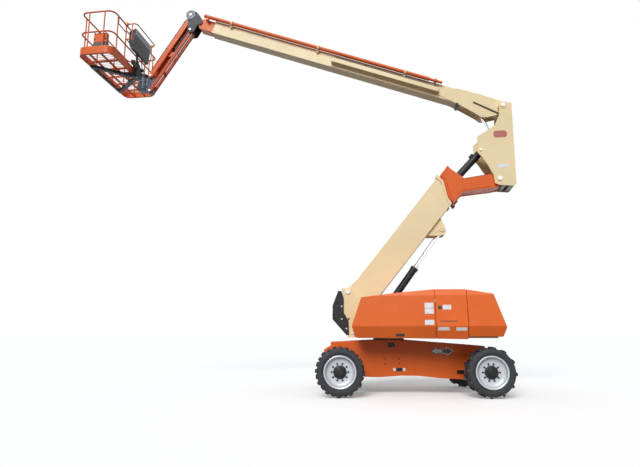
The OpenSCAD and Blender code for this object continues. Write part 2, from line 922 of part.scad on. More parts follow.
module jib_upper() {
    color(orange)
        slewed()
            on_jib(jib_hi_z)
                difference() {
                    union() {
                        slabs([[0, -60], [jib_length, -60], [jib_length, 60], [0, 60]], jib_in, jib_out);
                        bars(0, 0, 60, jib_in, jib_out);
                        bars(jib_length, 0, 60, jib_in, jib_out);
                        block([260, -jib_in - 2, -60], [jib_length - 220, jib_in + 2, -46]);
                        slabs([[1080, -50], [1280, -50], [1260, 100], [1205, 178], [1155, 178], [1100, 100]], 49, 57);
                    }
                    bar(0, 0, 28 + running, -jib_out - 5, jib_out + 5);
                    bar(jib_length, 0, 28 + running, -jib_out - 5, jib_out + 5);
                }
}

module jib_lower() {
    color([0.62, 0.19, 0.06])
        slewed()
            on_jib(jib_lo_z)
                difference() {
                    union() {
                        slabs([[0, -42], [jib_length, -42], [jib_length, 42], [0, 42]], jib_in + 2, jib_out - 4);
                        bars(0, 0, 50, jib_in + 2, jib_out - 4);
                        bars(jib_length, 0, 50, jib_in + 2, jib_out - 4);
                        block([1300, -jib_in - 4, -18], [1380, jib_in + 4, 18]);
                    }
                    bar(0, 0, 28 + running, -jib_out - 5, jib_out + 5);
                    bar(jib_length, 0, 28 + running, -jib_out - 5, jib_out + 5);
                }
}

module jib_barrel() {
    color(black)
        slewed()
            on_line(jl_base, jl_pin)
                difference() {
                    union() {
                        bar(0, 0, 40, -48, 48);
                        rotate([0, 90, 0])
                            cylinder(r = 40, h = 930);
                        translate([890, 0, 0])
                            rotate([0, 90, 0])
                                cylinder(r = 46, h = 50);
                    }
                    bar(0, 0, 22 + running, -60, 60);
                    translate([60, 0, 0])
                        rotate([0, 90, 0])
                            cylinder(r = 22 + running, h = 900);
                }
}

module jib_rod() {
    l = norm(jl_pin - jl_base);
    color(steel)
        slewed()
            on_line(jl_base, jl_pin) {
                translate([l - 620, 0, 0])
                    rotate([0, 90, 0])
                        cylinder(r = 22, h = 600);
                bar(l, 0, 38, -44, 44);
            }
}

module platform_support() {
    s = jib_pin_spacing;
    color(grey)
        slewed() {
            translate([jib_end_x, 0, jib_end_z]) {
                slab([[-60, 50], [60, 50], [66, 0], [66, -s], [40, -s - 58], [-40, -s - 58], [-180, -s + 30], [-180, -60], [-75, -40]], -53, 53);
                bar(0, 0, 28, -jib_out - 8, jib_out + 8);
                bar(0, -s, 28, -jib_out - 8, jib_out + 8);
            }
            translate([rotate_x, 0, jib_end_z - s + 20])
                cylinder(r = 105, h = s - 38);
            translate([rotate_x, 0, jib_end_z - 60])
                cylinder(r = 60, h = 86);
        }
}

// Platform.
// Points of a rectangle with rounded corners.
function rounded(x0, x1, y0, y1, r) = [
    for (c = [[x1 - r, y1 - r, 0], [x0 + r, y1 - r, 90], [x0 + r, y0 + r, 180], [x1 - r, y0 + r, 270]])
        for (a = [0 : 15 : 90])
            [c[0] + r * cos(c[2] + a), c[1] + r * sin(c[2] + a)]
];

module platform_plan(inset, z0, z1) {
    translate([0, 0, z0])
        linear_extrude(height = z1 - z0)
            polygon(rounded(plat_out + inset, plat_in - inset, -plat_y + inset, plat_y - inset,
                corner_radius - inset));
}

module platform_floor() {
    pitch = (platform_width - 100) / floor_bars;
    color(orange)
        slewed() {
            difference() {
                platform_plan(0, plat_z, plat_top);
                platform_plan(44, plat_z - 5, plat_top + 5);
            }
            for (y = [-0.66, -0.33, 0, 0.33, 0.66])
                block([plat_out + 40, y * plat_y - 15, plat_z], [plat_in - 40, y * plat_y + 15, plat_top - 4]);
            for (x = [plat_out + platform_depth / 3, plat_in - platform_depth / 3])
                block([x - 15, -plat_y + 40, plat_z + 2], [x + 15, plat_y - 40, plat_top - 2]);
            for (i = [1 : floor_bars - 1])
                block([plat_out + 40, -plat_y + 45 + i * pitch, plat_top - 6],
                    [plat_in - 40, -plat_y + 55 + i * pitch, plat_top - 1]);
        }
}

// One arm of the V below the floor, from the bearing out to the far edge beam.
module platform_arm(s) {
    translate([0, 0, arm_low])
        linear_extrude(height = arm_top - arm_low)
            polygon([[plat_in + 20, s * 20], [plat_in + 20, s * 100], [plat_in - 60, s * 150],
                [plat_out + 180, s * 700], [plat_out + 60, s * 700], [plat_out + 60, s * 620],
                [plat_out + 140, s * 600], [plat_in - 100, s * 40]]);
}

module platform_arms() {
    color(black)
        slewed()
            difference() {
                union() {
                    translate([rotate_x, 0, plat_z - 78])
                        cylinder(r = 110, h = 74);
                    block([plat_in - 60, -100, arm_low], [rotate_x, 100, plat_z - 6]);
                    platform_arm(-1);
                    mirror([0, 1, 0])
                        platform_arm(-1);
                    block([plat_out + 60, -720, arm_low + 4], [plat_out + 110, 720, arm_top]);
                    // mast against the toe board
                    block([plat_in + seat, -150, arm_low], [plat_in + 50, 150, plat_top + 330]);
                    for (y = [-96, 76])
                        slab([[plat_in + 40, plat_z - 20], [rotate_x - 20, plat_z - 20], [plat_in + 90, plat_top + 150],
                            [plat_in + 40, plat_top + 150]], y, y + 20);
                    for (y = [-0.2, 0.2])
                        block([plat_in + 40, y * plat_y - 8, plat_top + 200], [plat_in + 116, y * plat_y + 8, plat_top + 280]);
                    block([plat_in + seat, -260, plat_top + 190], [plat_in + 50, 260, plat_top + 290]);
                }
                translate([rotate_x, 0, plat_z - 90])
                    cylinder(r = 60 + running, h = 60);
                for (y = [-0.2, 0.2])
                    bar(plat_in + 84, plat_top + 240, 14, y * plat_y - 20, y * plat_y + 20);
            }
}

// Quarter bend of the rail tube, a little thicker than the straight rails that enter it.
module rail_elbow(x, y, z, a, bend) {
    translate([x, y, z])
        rotate([0, 0, a])
            rotate_extrude(angle = 90)
                translate([bend, 0])
                    circle(r = rail_radius + 1);
}

module rail_loop(z, x0, x1, y0, y1) {
    b = rail_bend;
    e = 5;
    for (y = [y0, y1])
        rod([x0 + b - e, y, z], [x1 - b + e, y, z], rail_radius);
    for (x = [x0, x1])
        rod([x, y0 + b - e, z], [x, y1 - b + e, z], rail_radius);
    rail_elbow(x1 - b, y1 - b, z, 0, b);
    rail_elbow(x0 + b, y1 - b, z, 90, b);
    rail_elbow(x0 + b, y0 + b, z, 180, b);
    rail_elbow(x1 - b, y0 + b, z, 270, b);
}

// Guard round the controls: a flat hoop that stands out from the top rail.
module guard_hoop(z, y0, y1) {
    b = 80;
    e = 5;
    x0 = rail_in - 8;
    x1 = rail_in + hoop_reach;
    for (y = [y0, y1]) {
        rod([x0, y, z], [x1 - b + e, y, z], rail_radius - 4);
        rod([x1 - b - 30, y, rail_top - 420], [x1 - b - 30, y, z + 4], rail_radius - 6);
        rod([rail_in, y, rail_top - 400], [x1 - b - 20, y, rail_top - 400], rail_radius - 5);
        rod([rail_in, y, plat_top], [rail_in, y, z + 3], rail_radius - 3);
    }
    rod([x1, y0 + b - e, z], [x1, y1 - b + e, z], rail_radius - 4);
    for (end = [[y1 - b, 0], [y0 + b, 270]])
        translate([x1 - b, end[0], z])
            rotate([0, 0, end[1]])
                rotate_extrude(angle = 90)
                    translate([b, 0])
                        circle(r = rail_radius - 3);
}

module platform_rails() {
    color(orange)
        slewed() {
            rail_loop(rail_top, rail_out, rail_in, -rail_y, rail_y);
            rail_loop(rail_mid, rail_out, rail_in, -rail_y, rail_y);
            for (x = [rail_out, rail_in])
                for (y = [-rail_y + 230, rail_y - 230])
                    rod([x, y, plat_top], [x, y, rail_top + 5], rail_radius - 3);
            for (x = [rail_out])
                for (y = [-rail_y / 3, rail_y / 3])
                    rod([x, y, plat_top], [x, y, rail_top + 5], rail_radius - 3);
            for (x = [rail_out + 230, rail_in - 230])
                for (y = [-rail_y, rail_y])
                    rod([x, y, plat_top], [x, y, rail_top + 5], rail_radius - 3);
            guard_hoop(rail_top + 30, -560, 520);
            // rails that carry the console
            for (z = [rail_top - 150, rail_top - 380])
                rod([rail_in, -560, z], [rail_in, 520, z], rail_radius - 5);
            // short rail below the top rail
            rod([rail_in, -940, rail_top - 200], [rail_in, -560, rail_top - 200], rail_radius - 5);
            rod([rail_in, -940, rail_top - 206], [rail_in, -940, rail_top], rail_radius - 6);
        }
}

module platform_toe_board() {
    color(orange)
        slewed()
            difference() {
                platform_plan(0, plat_top, plat_top + toe_board);
                platform_plan(toe_sheet, plat_top - 5, plat_top + toe_board + 5);
            }
}

// Console outside the rail, with a sloping tray on top.
module control_box() {
    x = rail_in + rail_radius - 5 + seat;
    color(grey)
        slewed()
            difference() {
                slab([[x, rail_top - 100], [x, rail_top - 420], [x + 70, rail_top - 600], [x + 150, rail_top - 600],
                    [x + 190, rail_top - 200], [x + 190, rail_top - 40], [x + 170, rail_top - 20]], -430, 400);
                slab([[x + 14, rail_top - 60], [x + 14, rail_top - 112], [x + 172, rail_top - 52],
                    [x + 160, rail_top], [x + 60, rail_top]], -410, 380);
            }
}

chassis_frame();
axle_drive();
axle_steer();
slew_ring();
color(black) tyre(drive_x, -1);  // tyre_drive_near
color(black) tyre(drive_x, 1);  // tyre_drive_far
color(black) tyre(steer_x, -1);  // tyre_steer_near
color(black) tyre(steer_x, 1);  // tyre_steer_far
color(silver) rim(drive_x, -1);  // rim_drive_near
color(silver) rim(drive_x, 1);  // rim_drive_far
color(silver) rim(steer_x, -1);  // rim_steer_near
color(silver) rim(steer_x, 1);  // rim_steer_far
knuckle(-1);  // knuckle_near
knuckle(1);  // knuckle_far
tie_rod();
turntable_frame();
tower_guard();
hood_panel(-1, -800, 968 - panel_gap / 2);  // hood_front_near
hood_panel(1, -800, 968 - panel_gap / 2);  // hood_front_far
hood_panel(-1, 968 + panel_gap / 2, 1607 - panel_gap / 2);  // hood_mid_near
hood_panel(1, 968 + panel_gap / 2, 1607 - panel_gap / 2);  // hood_mid_far
counterweight();
engine_block();
tower_base();
tower_fly();
upright();
tower_lift_barrel();
tower_lift_rod();
level_barrel();
level_rod();
main_lift_barrel();
main_lift_rod();
main_base();
hose_trough();
main_fly();
push_tube();
jib_head();
jib_upper();
jib_lower();
jib_barrel();
jib_rod();
platform_support();
platform_floor();
platform_arms();
platform_toe_board();
platform_rails();
control_box();
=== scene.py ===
import json
import math
import bmesh
import bpy
from mathutils import Matrix, Vector


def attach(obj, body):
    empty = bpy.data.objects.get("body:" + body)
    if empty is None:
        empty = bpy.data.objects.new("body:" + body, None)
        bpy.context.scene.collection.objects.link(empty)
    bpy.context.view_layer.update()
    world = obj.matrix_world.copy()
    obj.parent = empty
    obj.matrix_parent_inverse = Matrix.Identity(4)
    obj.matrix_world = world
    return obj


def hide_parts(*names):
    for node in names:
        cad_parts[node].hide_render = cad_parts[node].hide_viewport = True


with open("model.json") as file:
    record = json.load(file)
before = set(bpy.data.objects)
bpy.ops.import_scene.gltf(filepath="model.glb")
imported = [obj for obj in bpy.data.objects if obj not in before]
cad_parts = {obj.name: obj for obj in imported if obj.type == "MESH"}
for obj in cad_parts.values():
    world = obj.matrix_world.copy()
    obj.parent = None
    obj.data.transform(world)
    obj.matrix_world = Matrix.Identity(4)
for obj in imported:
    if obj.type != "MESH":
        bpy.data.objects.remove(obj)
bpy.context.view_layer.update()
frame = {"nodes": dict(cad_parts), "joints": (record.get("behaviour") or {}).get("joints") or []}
print("frame loaded")

# The machine's resting angles in degrees and its driving lengths in metres.
machine = {
    "restSlew": 6, "towerAngle": 51.2, "boomAngle": 21.2, "jibAngle": 123,
    "tyreRadius": 0.51, "tyreWidth": 0.38, "rimRadius": 0.32,
    "towerWidth": 0.47, "towerLength": 3.416,
}

sides = ((-1, "near"), (1, "far"))
pivots = {j["name"]: Vector(j["pos_m"]) for j in frame["joints"] if "pos_m" in j}


def turned(axis, degrees):
    return Matrix.Rotation(math.radians(degrees), 4, axis)


def mirrored(frameOf, side):
    # near side as it is, far side as its mirror image
    return frameOf @ Matrix.Diagonal((1, -side, 1, 1))


# Each sub-assembly's own axes: along it, across it and square to both.
slewed = turned("Z", -machine["restSlew"])
towerFrame = Matrix.Translation(pivots["tower_lift"]) @ slewed @ turned("Y", -machine["towerAngle"])
uprightFrame = Matrix.Translation(pivots["upright_level"]) @ slewed
boomFrame = (Matrix.Translation(pivots["main_lift"]) @ slewed @ turned("Y", machine["boomAngle"])
             @ Matrix.Diagonal((-1, 1, 1, 1)))
headFrame = Matrix.Translation(pivots["head_level"]) @ slewed
jibFrame = Matrix.Translation(pivots["jib_lift"]) @ slewed @ turned("Y", machine["jibAngle"])
platformFrame = Matrix.Translation(pivots["platform_rotate"]) @ slewed
chassisFrame = Matrix.Identity(4)

# Camera and light

view = {"place": (-1.22, -11.75, 1.32), "pitch": 10.3, "turn": 2.0, "lens": 28.4,
        "shift": (0.005, 0.010)}
light = {"key": 2.25, "keyAngle": 30, "keyFrom": (-0.22, -0.76, 0.61), "sky": 0.46,
         "floorBounce": 0.13, "floorGlow": 0.18}


def makeCamera():
    data = bpy.data.cameras.new("camera")
    data.sensor_width = 36
    data.lens = view["lens"]
    data.shift_x, data.shift_y = view["shift"]
    data.clip_end = 500
    camera = bpy.data.objects.new("camera", data)
    camera.location = view["place"]
    camera.rotation_euler = (math.radians(90 + view["pitch"]), 0, math.radians(view["turn"]))
    bpy.context.scene.collection.objects.link(camera)
    bpy.context.scene.camera = camera


def makeLights():
    sun = bpy.data.lights.new("key", "SUN")
    sun.energy = light["key"]
    sun.angle = math.radians(light["keyAngle"])
    lamp = bpy.data.objects.new("key", sun)
    lamp.rotation_euler = Vector(light["keyFrom"]).to_track_quat("Z", "Y").to_euler()
    bpy.context.scene.collection.objects.link(lamp)


def whiteToEye(tree):
    # 1 for rays that see the background, straight or by reflection
    path = tree.nodes.new("ShaderNodeLightPath")
    first = tree.nodes.new("ShaderNodeMath")
    first.operation = "MAXIMUM"
    second = tree.nodes.new("ShaderNodeMath")
    second.operation = "MAXIMUM"
    tree.links.new(path.outputs["Is Camera Ray"], first.inputs[0])
    tree.links.new(path.outputs["Is Glossy Ray"], first.inputs[1])
    tree.links.new(first.outputs[0], second.inputs[0])
    tree.links.new(path.outputs["Is Transmission Ray"], second.inputs[1])
    return second.outputs[0]


def makeWorld():
    world = bpy.data.worlds.new("studio")
    bpy.context.scene.world = world
    world.use_nodes = True
    tree = world.node_tree
    tree.nodes.clear()
    seen = whiteToEye(tree)
    lit = tree.nodes.new("ShaderNodeBackground")
    lit.inputs["Color"].default_value = (0.94, 0.97, 1.0, 1)
    lit.inputs["Strength"].default_value = light["sky"]
    white = tree.nodes.new("ShaderNodeBackground")
    mix = tree.nodes.new("ShaderNodeMixShader")
    out = tree.nodes.new("ShaderNodeOutputWorld")
    white.inputs["Color"].default_value = (1, 1, 1, 1)
    tree.links.new(seen, mix.inputs[0])
    tree.links.new(lit.outputs[0], mix.inputs[1])
    tree.links.new(white.outputs[0], mix.inputs[2])
    tree.links.new(mix.outputs[0], out.inputs[0])


def makeFloor():
    bm = bmesh.new()
    bmesh.ops.create_grid(bm, x_segments=1, y_segments=1, size=200)
    mesh = bpy.data.meshes.new("floor")
    bm.to_mesh(mesh)
    bm.free()
    floor = bpy.data.objects.new("floor", mesh)
    bpy.context.scene.collection.objects.link(floor)
    material = bpy.data.materials.new("paleFloor")
    material.use_nodes = True
    tree = material.node_tree
    tree.nodes.clear()
    seen = whiteToEye(tree)
    pale = tree.nodes.new("ShaderNodeBsdfDiffuse")
    pale.inputs["Color"].default_value = (0.93, 0.93, 0.93, 1)
    dim = tree.nodes.new("ShaderNodeBsdfDiffuse")
    dim.inputs["Color"].default_value = (light["floorBounce"],) * 3 + (1,)
    glow = tree.nodes.new("ShaderNodeEmission")
    glow.inputs["Strength"].default_value = light["floorGlow"]
    add = tree.nodes.new("ShaderNodeAddShader")
    mix = tree.nodes.new("ShaderNodeMixShader")
    out = tree.nodes.new("ShaderNodeOutputMaterial")
    tree.links.new(pale.outputs[0], add.inputs[0])
    tree.links.new(glow.outputs[0], add.inputs[1])
    tree.links.new(seen, mix.inputs[0])
    tree.links.new(dim.outputs[0], mix.inputs[1])
    tree.links.new(add.outputs[0], mix.inputs[2])
    tree.links.new(mix.outputs[0], out.inputs[0])
    mesh.materials.append(material)


bpy.context.scene.view_settings.view_transform = "Standard"
makeCamera()
makeLights()
makeWorld()
makeFloor()
print("camera, light and floor ready")

# Materials

finishes = {
    "orangePaint": {"colour": (0.80, 0.130, 0.014), "rough": 0.38, "coat": 0.08, "edge": 0.0035},
    "orangeCover": {"colour": (0.83, 0.145, 0.016), "rough": 0.36, "coat": 0.08, "edge": 0.010},
    # the next finish is the orange paint darkened as painted shade, for the jib's lower link and the knuckle
    # seam lines
    "shadedOrangePaint": {"colour": (0.56, 0.070, 0.010), "rough": 0.42, "coat": 0.05, "edge": 0.003},
    "creamPaint": {"colour": (0.90, 0.725, 0.430), "rough": 0.40, "coat": 0.15, "edge": 0.0035},
    "blackPaint": {"colour": (0.014, 0.015, 0.019), "rough": 0.42, "coat": 0.05, "edge": 0.003},
    "greyPaint": {"colour": (0.075, 0.085, 0.10), "rough": 0.42, "coat": 0.25, "edge": 0.003},
    "blueGreyPaint": {"colour": (0.100, 0.130, 0.180), "rough": 0.40, "coat": 0.25, "edge": 0.003},
    "paleGreyPaint": {"colour": (0.34, 0.42, 0.52), "rough": 0.42, "coat": 0.2, "edge": 0.002},
    "rimPaint": {"colour": (0.60, 0.63, 0.67), "rough": 0.34, "coat": 0.2, "edge": 0.003, "metal": 0.35},
}


def noise(tree, scale, detail, source, stretch=(1, 1, 1)):
    mapping = tree.nodes.new("ShaderNodeMapping")
    mapping.inputs["Scale"].default_value = stretch
    texture = tree.nodes.new("ShaderNodeTexNoise")
    texture.inputs["Scale"].default_value = scale
    texture.inputs["Detail"].default_value = detail
    tree.links.new(source, mapping.inputs["Vector"])
    tree.links.new(mapping.outputs[0], texture.inputs["Vector"])
    return texture.outputs["Fac"]


def ranged(tree, value, low, high, start=0.3, end=0.7):
    node = tree.nodes.new("ShaderNodeMapRange")
    node.inputs["From Min"].default_value = start
    node.inputs["From Max"].default_value = end
    node.inputs["To Min"].default_value = low
    node.inputs["To Max"].default_value = high
    tree.links.new(value, node.inputs["Value"])
    return node.outputs["Result"]


def blendColour(tree, factor, first, second):
    node = tree.nodes.new("ShaderNodeMix")
    node.data_type = "RGBA"
    for socket, value in ((node.inputs[6], first), (node.inputs[7], second)):
        if isinstance(value, tuple):
            socket.default_value = value + (1,)
        else:
            tree.links.new(value, socket)
    tree.links.new(factor, node.inputs[0])
    return node.outputs[2]


def newMaterial(name):
    material = bpy.data.materials.new(name)
    material.use_nodes = True
    tree = material.node_tree
    shader = tree.nodes["Principled BSDF"]
    place = tree.nodes.new("ShaderNodeTexCoord").outputs["Object"]
    return material, tree, shader, place


def bumped(tree, shader, height, distance, strength=1.0, edge=0.0):
    bump = tree.nodes.new("ShaderNodeBump")
    bump.inputs["Distance"].default_value = distance
    bump.inputs["Strength"].default_value = strength
    tree.links.new(height, bump.inputs["Height"])
    if edge:
        bevel = tree.nodes.new("ShaderNodeBevel")
        bevel.samples = 4
        bevel.inputs["Radius"].default_value = edge
        tree.links.new(bevel.outputs[0], bump.inputs["Normal"])
    tree.links.new(bump.outputs[0], shader.inputs["Normal"])


def paintMaterial(name):
    values = finishes[name]
    material, tree, shader, place = newMaterial(name)
    base = Vector(values["colour"])
    broad = noise(tree, 1.3, 3, place)
    fine = noise(tree, 260, 2, place)
    smudge = noise(tree, 9, 5, place)
    colour = blendColour(tree, ranged(tree, broad, 0, 1), tuple(base * 0.95), tuple(base * 1.04))
    dust = blendColour(tree, ranged(tree, smudge, 0, 0.06, 0.5, 0.75), colour, (0.42, 0.38, 0.32))
    tree.links.new(dust, shader.inputs["Base Color"])
    rough = values["rough"]
    tree.links.new(ranged(tree, smudge, rough - 0.06, rough + 0.10), shader.inputs["Roughness"])
    shader.inputs["Coat Weight"].default_value = values["coat"]
    shader.inputs["Coat Roughness"].default_value = 0.12
    shader.inputs["Specular IOR Level"].default_value = values.get("shine", 0.28)
    shader.inputs["Metallic"].default_value = values.get("metal", 0)
    bumped(tree, shader, fine, 0.0004, 0.35, values["edge"])
    return material


def chromeMaterial():
    material, tree, shader, place = newMaterial("polishedRod")
    shader.inputs["Base Color"].default_value = (0.86, 0.87, 0.89, 1)
    shader.inputs["Metallic"].default_value = 1
    marks = noise(tree, 40, 4, place, (1, 1, 0.1))
    tree.links.new(ranged(tree, marks, 0.07, 0.2), shader.inputs["Roughness"])
    bumped(tree, shader, marks, 0.0001, 0.2)
    return material


def steelMaterial():
    material, tree, shader, place = newMaterial("zincSteel")
    shader.inputs["Metallic"].default_value = 1
    spots = noise(tree, 60, 4, place)
    colour = blendColour(tree, ranged(tree, spots, 0, 1), (0.50, 0.50, 0.49), (0.72, 0.72, 0.70))
    tree.links.new(colour, shader.inputs["Base Color"])
    tree.links.new(ranged(tree, spots, 0.28, 0.5), shader.inputs["Roughness"])
    bumped(tree, shader, spots, 0.0003, 0.3)
    return material


def rubberMaterial():
    material, tree, shader, place = newMaterial("tyreRubber")
    patches = noise(tree, 7, 5, place)
    grain = noise(tree, 150, 3, place)
    dusty = blendColour(tree, ranged(tree, patches, 0, 1, 0.42, 0.72),
                        (0.019, 0.021, 0.025), (0.050, 0.053, 0.058))
    tree.links.new(dusty, shader.inputs["Base Color"])
    tree.links.new(ranged(tree, patches, 0.55, 0.85), shader.inputs["Roughness"])
    bumped(tree, shader, grain, 0.0012, 0.5, 0.004)
    return material


def plasticMaterial(name, colour, rough):
    material, tree, shader, place = newMaterial(name)
    grain = noise(tree, 420, 2, place)
    patches = noise(tree, 12, 3, place)
    base = Vector(colour)
    tint = blendColour(tree, ranged(tree, patches, 0, 1), tuple(base * 0.9), tuple(base * 1.12))
    tree.links.new(tint, shader.inputs["Base Color"])
    tree.links.new(ranged(tree, patches, rough - 0.08, rough + 0.08), shader.inputs["Roughness"])
    bumped(tree, shader, grain, 0.0005, 0.4)
    return material


material = {name: paintMaterial(name) for name in finishes}
material["polishedRod"] = chromeMaterial()
material["zincSteel"] = steelMaterial()
material["tyreRubber"] = rubberMaterial()
material["darkPlastic"] = plasticMaterial("darkPlastic", (0.030, 0.032, 0.036), 0.5)
material["blackRubber"] = plasticMaterial("blackRubber", (0.016, 0.016, 0.018), 0.62)
material["paleLabel"] = plasticMaterial("paleLabel", (0.80, 0.81, 0.83), 0.42)
material["darkLabel"] = plasticMaterial("darkLabel", (0.02, 0.02, 0.03), 0.45)
material["yellowPlastic"] = plasticMaterial("yellowPlastic", (0.85, 0.52, 0.03), 0.4)
material["redPlastic"] = plasticMaterial("redPlastic", (0.55, 0.02, 0.02), 0.4)
material["dullRed"] = plasticMaterial("dullRed", (0.46, 0.13, 0.12), 0.5)
print("materials ready")

# Which finish each CAD node takes

nodeFinish = {
    "orangePaint": ["chassis_frame", "tower_fly", "main_fly", "push_tube", "jib_upper",
                    "platform_floor", "platform_toe_board", "platform_rails"],
    "orangeCover": ["hood_front_near", "hood_front_far", "hood_mid_near", "hood_mid_far", "counterweight"],
    # the jib's lower link takes the orange darkened as painted shade
    "shadedOrangePaint": ["jib_lower"],
    "creamPaint": ["turntable_frame", "tower_base", "upright", "main_base", "hose_trough"],
    "blackPaint": ["axle_drive", "axle_steer", "slew_ring", "knuckle_near", "knuckle_far", "tower_guard",
                   "tower_lift_barrel", "level_barrel", "main_lift_barrel", "jib_barrel",
                   "jib_head", "platform_arms", "control_box"],
    "greyPaint": ["tie_rod", "engine_block"],
    "blueGreyPaint": ["platform_support"],
    "rimPaint": ["rim_drive_near", "rim_drive_far", "rim_steer_near", "rim_steer_far"],
    "polishedRod": ["tower_lift_rod", "level_rod", "main_lift_rod", "jib_rod"],
    "tyreRubber": ["tyre_drive_near", "tyre_drive_far", "tyre_steer_near", "tyre_steer_far"],
}


def dressNodes():
    for finish, names in nodeFinish.items():
        for name in names:
            node = frame["nodes"][name]
            if not node.material_slots:
                node.data.materials.append(material[finish])
            for entry in node.material_slots:
                entry.material = material[finish]


dressNodes()
print("nodes dressed")

# Shaping helpers


def smoothed(mesh, angle=35):
    mesh.polygons.foreach_set("use_smooth", [True] * len(mesh.polygons))
    mesh.set_sharp_from_angle(angle=math.radians(angle))


def roundEdges(piece, width, segments=2):
    edges = piece.modifiers.new("roundedEdges", "BEVEL")
    edges.width = width
    edges.segments = segments
    edges.limit_method = "ANGLE"
    edges.angle_limit = math.radians(35)
    edges.harden_normals = True


def addPiece(name, data, finish, body, bevel=0.0, segments=2):
    data.materials.append(material[finish])
    piece = bpy.data.objects.new(name, data)
    bpy.context.scene.collection.objects.link(piece)
    if bevel:
        roundEdges(piece, bevel, segments)
    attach(piece, body)
    return piece


def finishPiece(bm, name, finish, body, place=None, bevel=0.0, segments=2):
    if place is not None:
        bmesh.ops.transform(bm, matrix=place, verts=bm.verts)
    bmesh.ops.recalc_face_normals(bm, faces=bm.faces)
    mesh = bpy.data.meshes.new(name)
    bm.to_mesh(mesh)
    bm.free()
    smoothed(mesh)
    return addPiece(name, mesh, finish, body, bevel, segments)


def roundedCopy(node, finish, body, width, segments=2):
    # the node's own shape with its edges rounded
    bm = bmesh.new()
    bm.from_mesh(frame["nodes"][node].data)
    bmesh.ops.remove_doubles(bm, verts=bm.verts, dist=0.00004)
    bmesh.ops.dissolve_limit(bm, angle_limit=math.radians(0.8), verts=bm.verts, edges=bm.edges)
    mesh = bpy.data.meshes.new(node + "_rounded")
    bm.to_mesh(mesh)
    bm.free()
    smoothed(mesh, 30)
    piece = addPiece(node + "_rounded", mesh, finish, body, width, segments)
    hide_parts(node)
    return piece


def addBox(bm, low, high):
    low, high = Vector(low), Vector(high)
    size = high - low
    box = Matrix.Translation((low + high) / 2) @ Matrix.Diagonal((size.x, size.y, size.z, 1))
    return bmesh.ops.create_cube(bm, size=1, matrix=box)["verts"]


def addRod(bm, start, end, radius, sides=20, endRadius=None):
    start, end = Vector(start), Vector(end)
    along = end - start
    place = Matrix.Translation((start + end) / 2) @ along.to_track_quat("Z", "Y").to_matrix().to_4x4()
    return bmesh.ops.create_cone(bm, cap_ends=True, segments=sides, radius1=radius,
                                 radius2=radius if endRadius is None else endRadius,
                                 depth=along.length, matrix=place)["verts"]


def boxPiece(name, finish, body, place, corners, bevel=0.0):
    bm = bmesh.new()
    for low, high in corners:
        addBox(bm, low, high)
    return finishPiece(bm, name, finish, body, place, bevel)


def addBolt(bm, at, direction, size):
    # washer, hexagon head and stud end
    at, out = Vector(at), Vector(direction).normalized()
    addRod(bm, at - out * 0.001, at + out * size * 0.16, size * 1.05, 20)
    addRod(bm, at, at + out * size * 0.85, size * 0.8, 6)
    addRod(bm, at, at + out * size * 1.1, size * 0.42, 12)


def addOutline(bm, points, low, high):
    # prism of an X-Z outline between two Y planes
    face = bm.faces.new([bm.verts.new((x, low, z)) for x, z in points])
    grown = bmesh.ops.extrude_face_region(bm, geom=[face])["geom"]
    verts = [v for v in grown if isinstance(v, bmesh.types.BMVert)]
    bmesh.ops.translate(bm, vec=(0, high - low, 0), verts=verts)
    return verts


def spun(bm, points, centre, axis, steps=64):
    # points are (distance from the axis, distance along it)
    axis = Vector(axis)
    side = axis.orthogonal().normalized()
    chain = [bm.verts.new(Vector(centre) + side * r + axis * a) for r, a in points]
    edges = [bm.edges.new(pair) for pair in zip(chain, chain[1:])]
    bmesh.ops.spin(bm, geom=chain + edges, cent=centre, axis=axis, angle=2 * math.pi,
                   steps=steps, use_merge=True)
    bmesh.ops.remove_doubles(bm, verts=bm.verts, dist=0.00002)


def rounded(points, radius, closed=False, steps=5):
    # the same path with its corners turned into arcs
    points = [Vector(p) for p in points]
    result = []
    count = len(points)
    for i, corner in enumerate(points):
        if not closed and i in (0, count - 1):
            result.append(corner)
            continue
        before = (points[i - 1] - corner)
        after = (points[(i + 1) % count] - corner)
        reach = min(radius, before.length * 0.45, after.length * 0.45)
        start, end = corner + before.normalized() * reach, corner + after.normalized() * reach
        for k in range(steps + 1):
            t = k / steps
            result.append(start * (1 - t) ** 2 + corner * 2 * t * (1 - t) + end * t * t)
    return result


def tubes(name, paths, radius, finish, body, place=None, closed=False, sides=3):
    curve = bpy.data.curves.new(name, "CURVE")
    curve.dimensions = "3D"
    curve.bevel_depth = radius
    curve.bevel_resolution = sides
    curve.use_fill_caps = True
    for path in paths:
        spline = curve.splines.new("POLY")
        spline.points.add(len(path) - 1)
        for point, where in zip(spline.points, path):
            where = (place or Matrix.Identity(4)) @ Vector(where)
            point.co = (*where, 1)
        spline.use_cyclic_u = closed
        spline.use_smooth = True
    return addPiece(name, curve, finish, body)


# Wheels

tyre = {"lugs": 12, "lugLength": 0.052, "lean": 14, "carcass": 0.476, "round": 0.006}
rim = {"hubRadius": 0.138, "capRadius": 0.086, "face": 0.094, "nuts": 10, "nutCircle": 0.172,
       "capBolts": 6, "capCircle": 0.062}


def addLug(bm, wide):
    r, base = machine["tyreRadius"], tyre["carcass"]
    outline = [(base - 0.014, 0.002), (r - 0.001, 0.002), (r - 0.001, wide - 0.036),
               (r - 0.022, wide - 0.010), (base - 0.050, wide - 0.006), (base - 0.050, wide - 0.026),
               (base - 0.014, wide - 0.046)]
    verts = set(addOutline(bm, outline, -tyre["lugLength"] / 2, tyre["lugLength"] / 2))
    verts |= {v for edge in list(bm.edges) for v in edge.verts
              if edge.verts[0] in verts or edge.verts[1] in verts}
    edges = [e for e in bm.edges if e.verts[0] in verts and e.verts[1] in verts]
    bmesh.ops.bevel(bm, geom=edges, offset=tyre["round"], segments=2, affect="EDGES",
                    profile=0.5, material=-1)


def wheelPlace(centre, side):
    return mirrored(Matrix.Translation(centre), side) @ turned("X", 90)


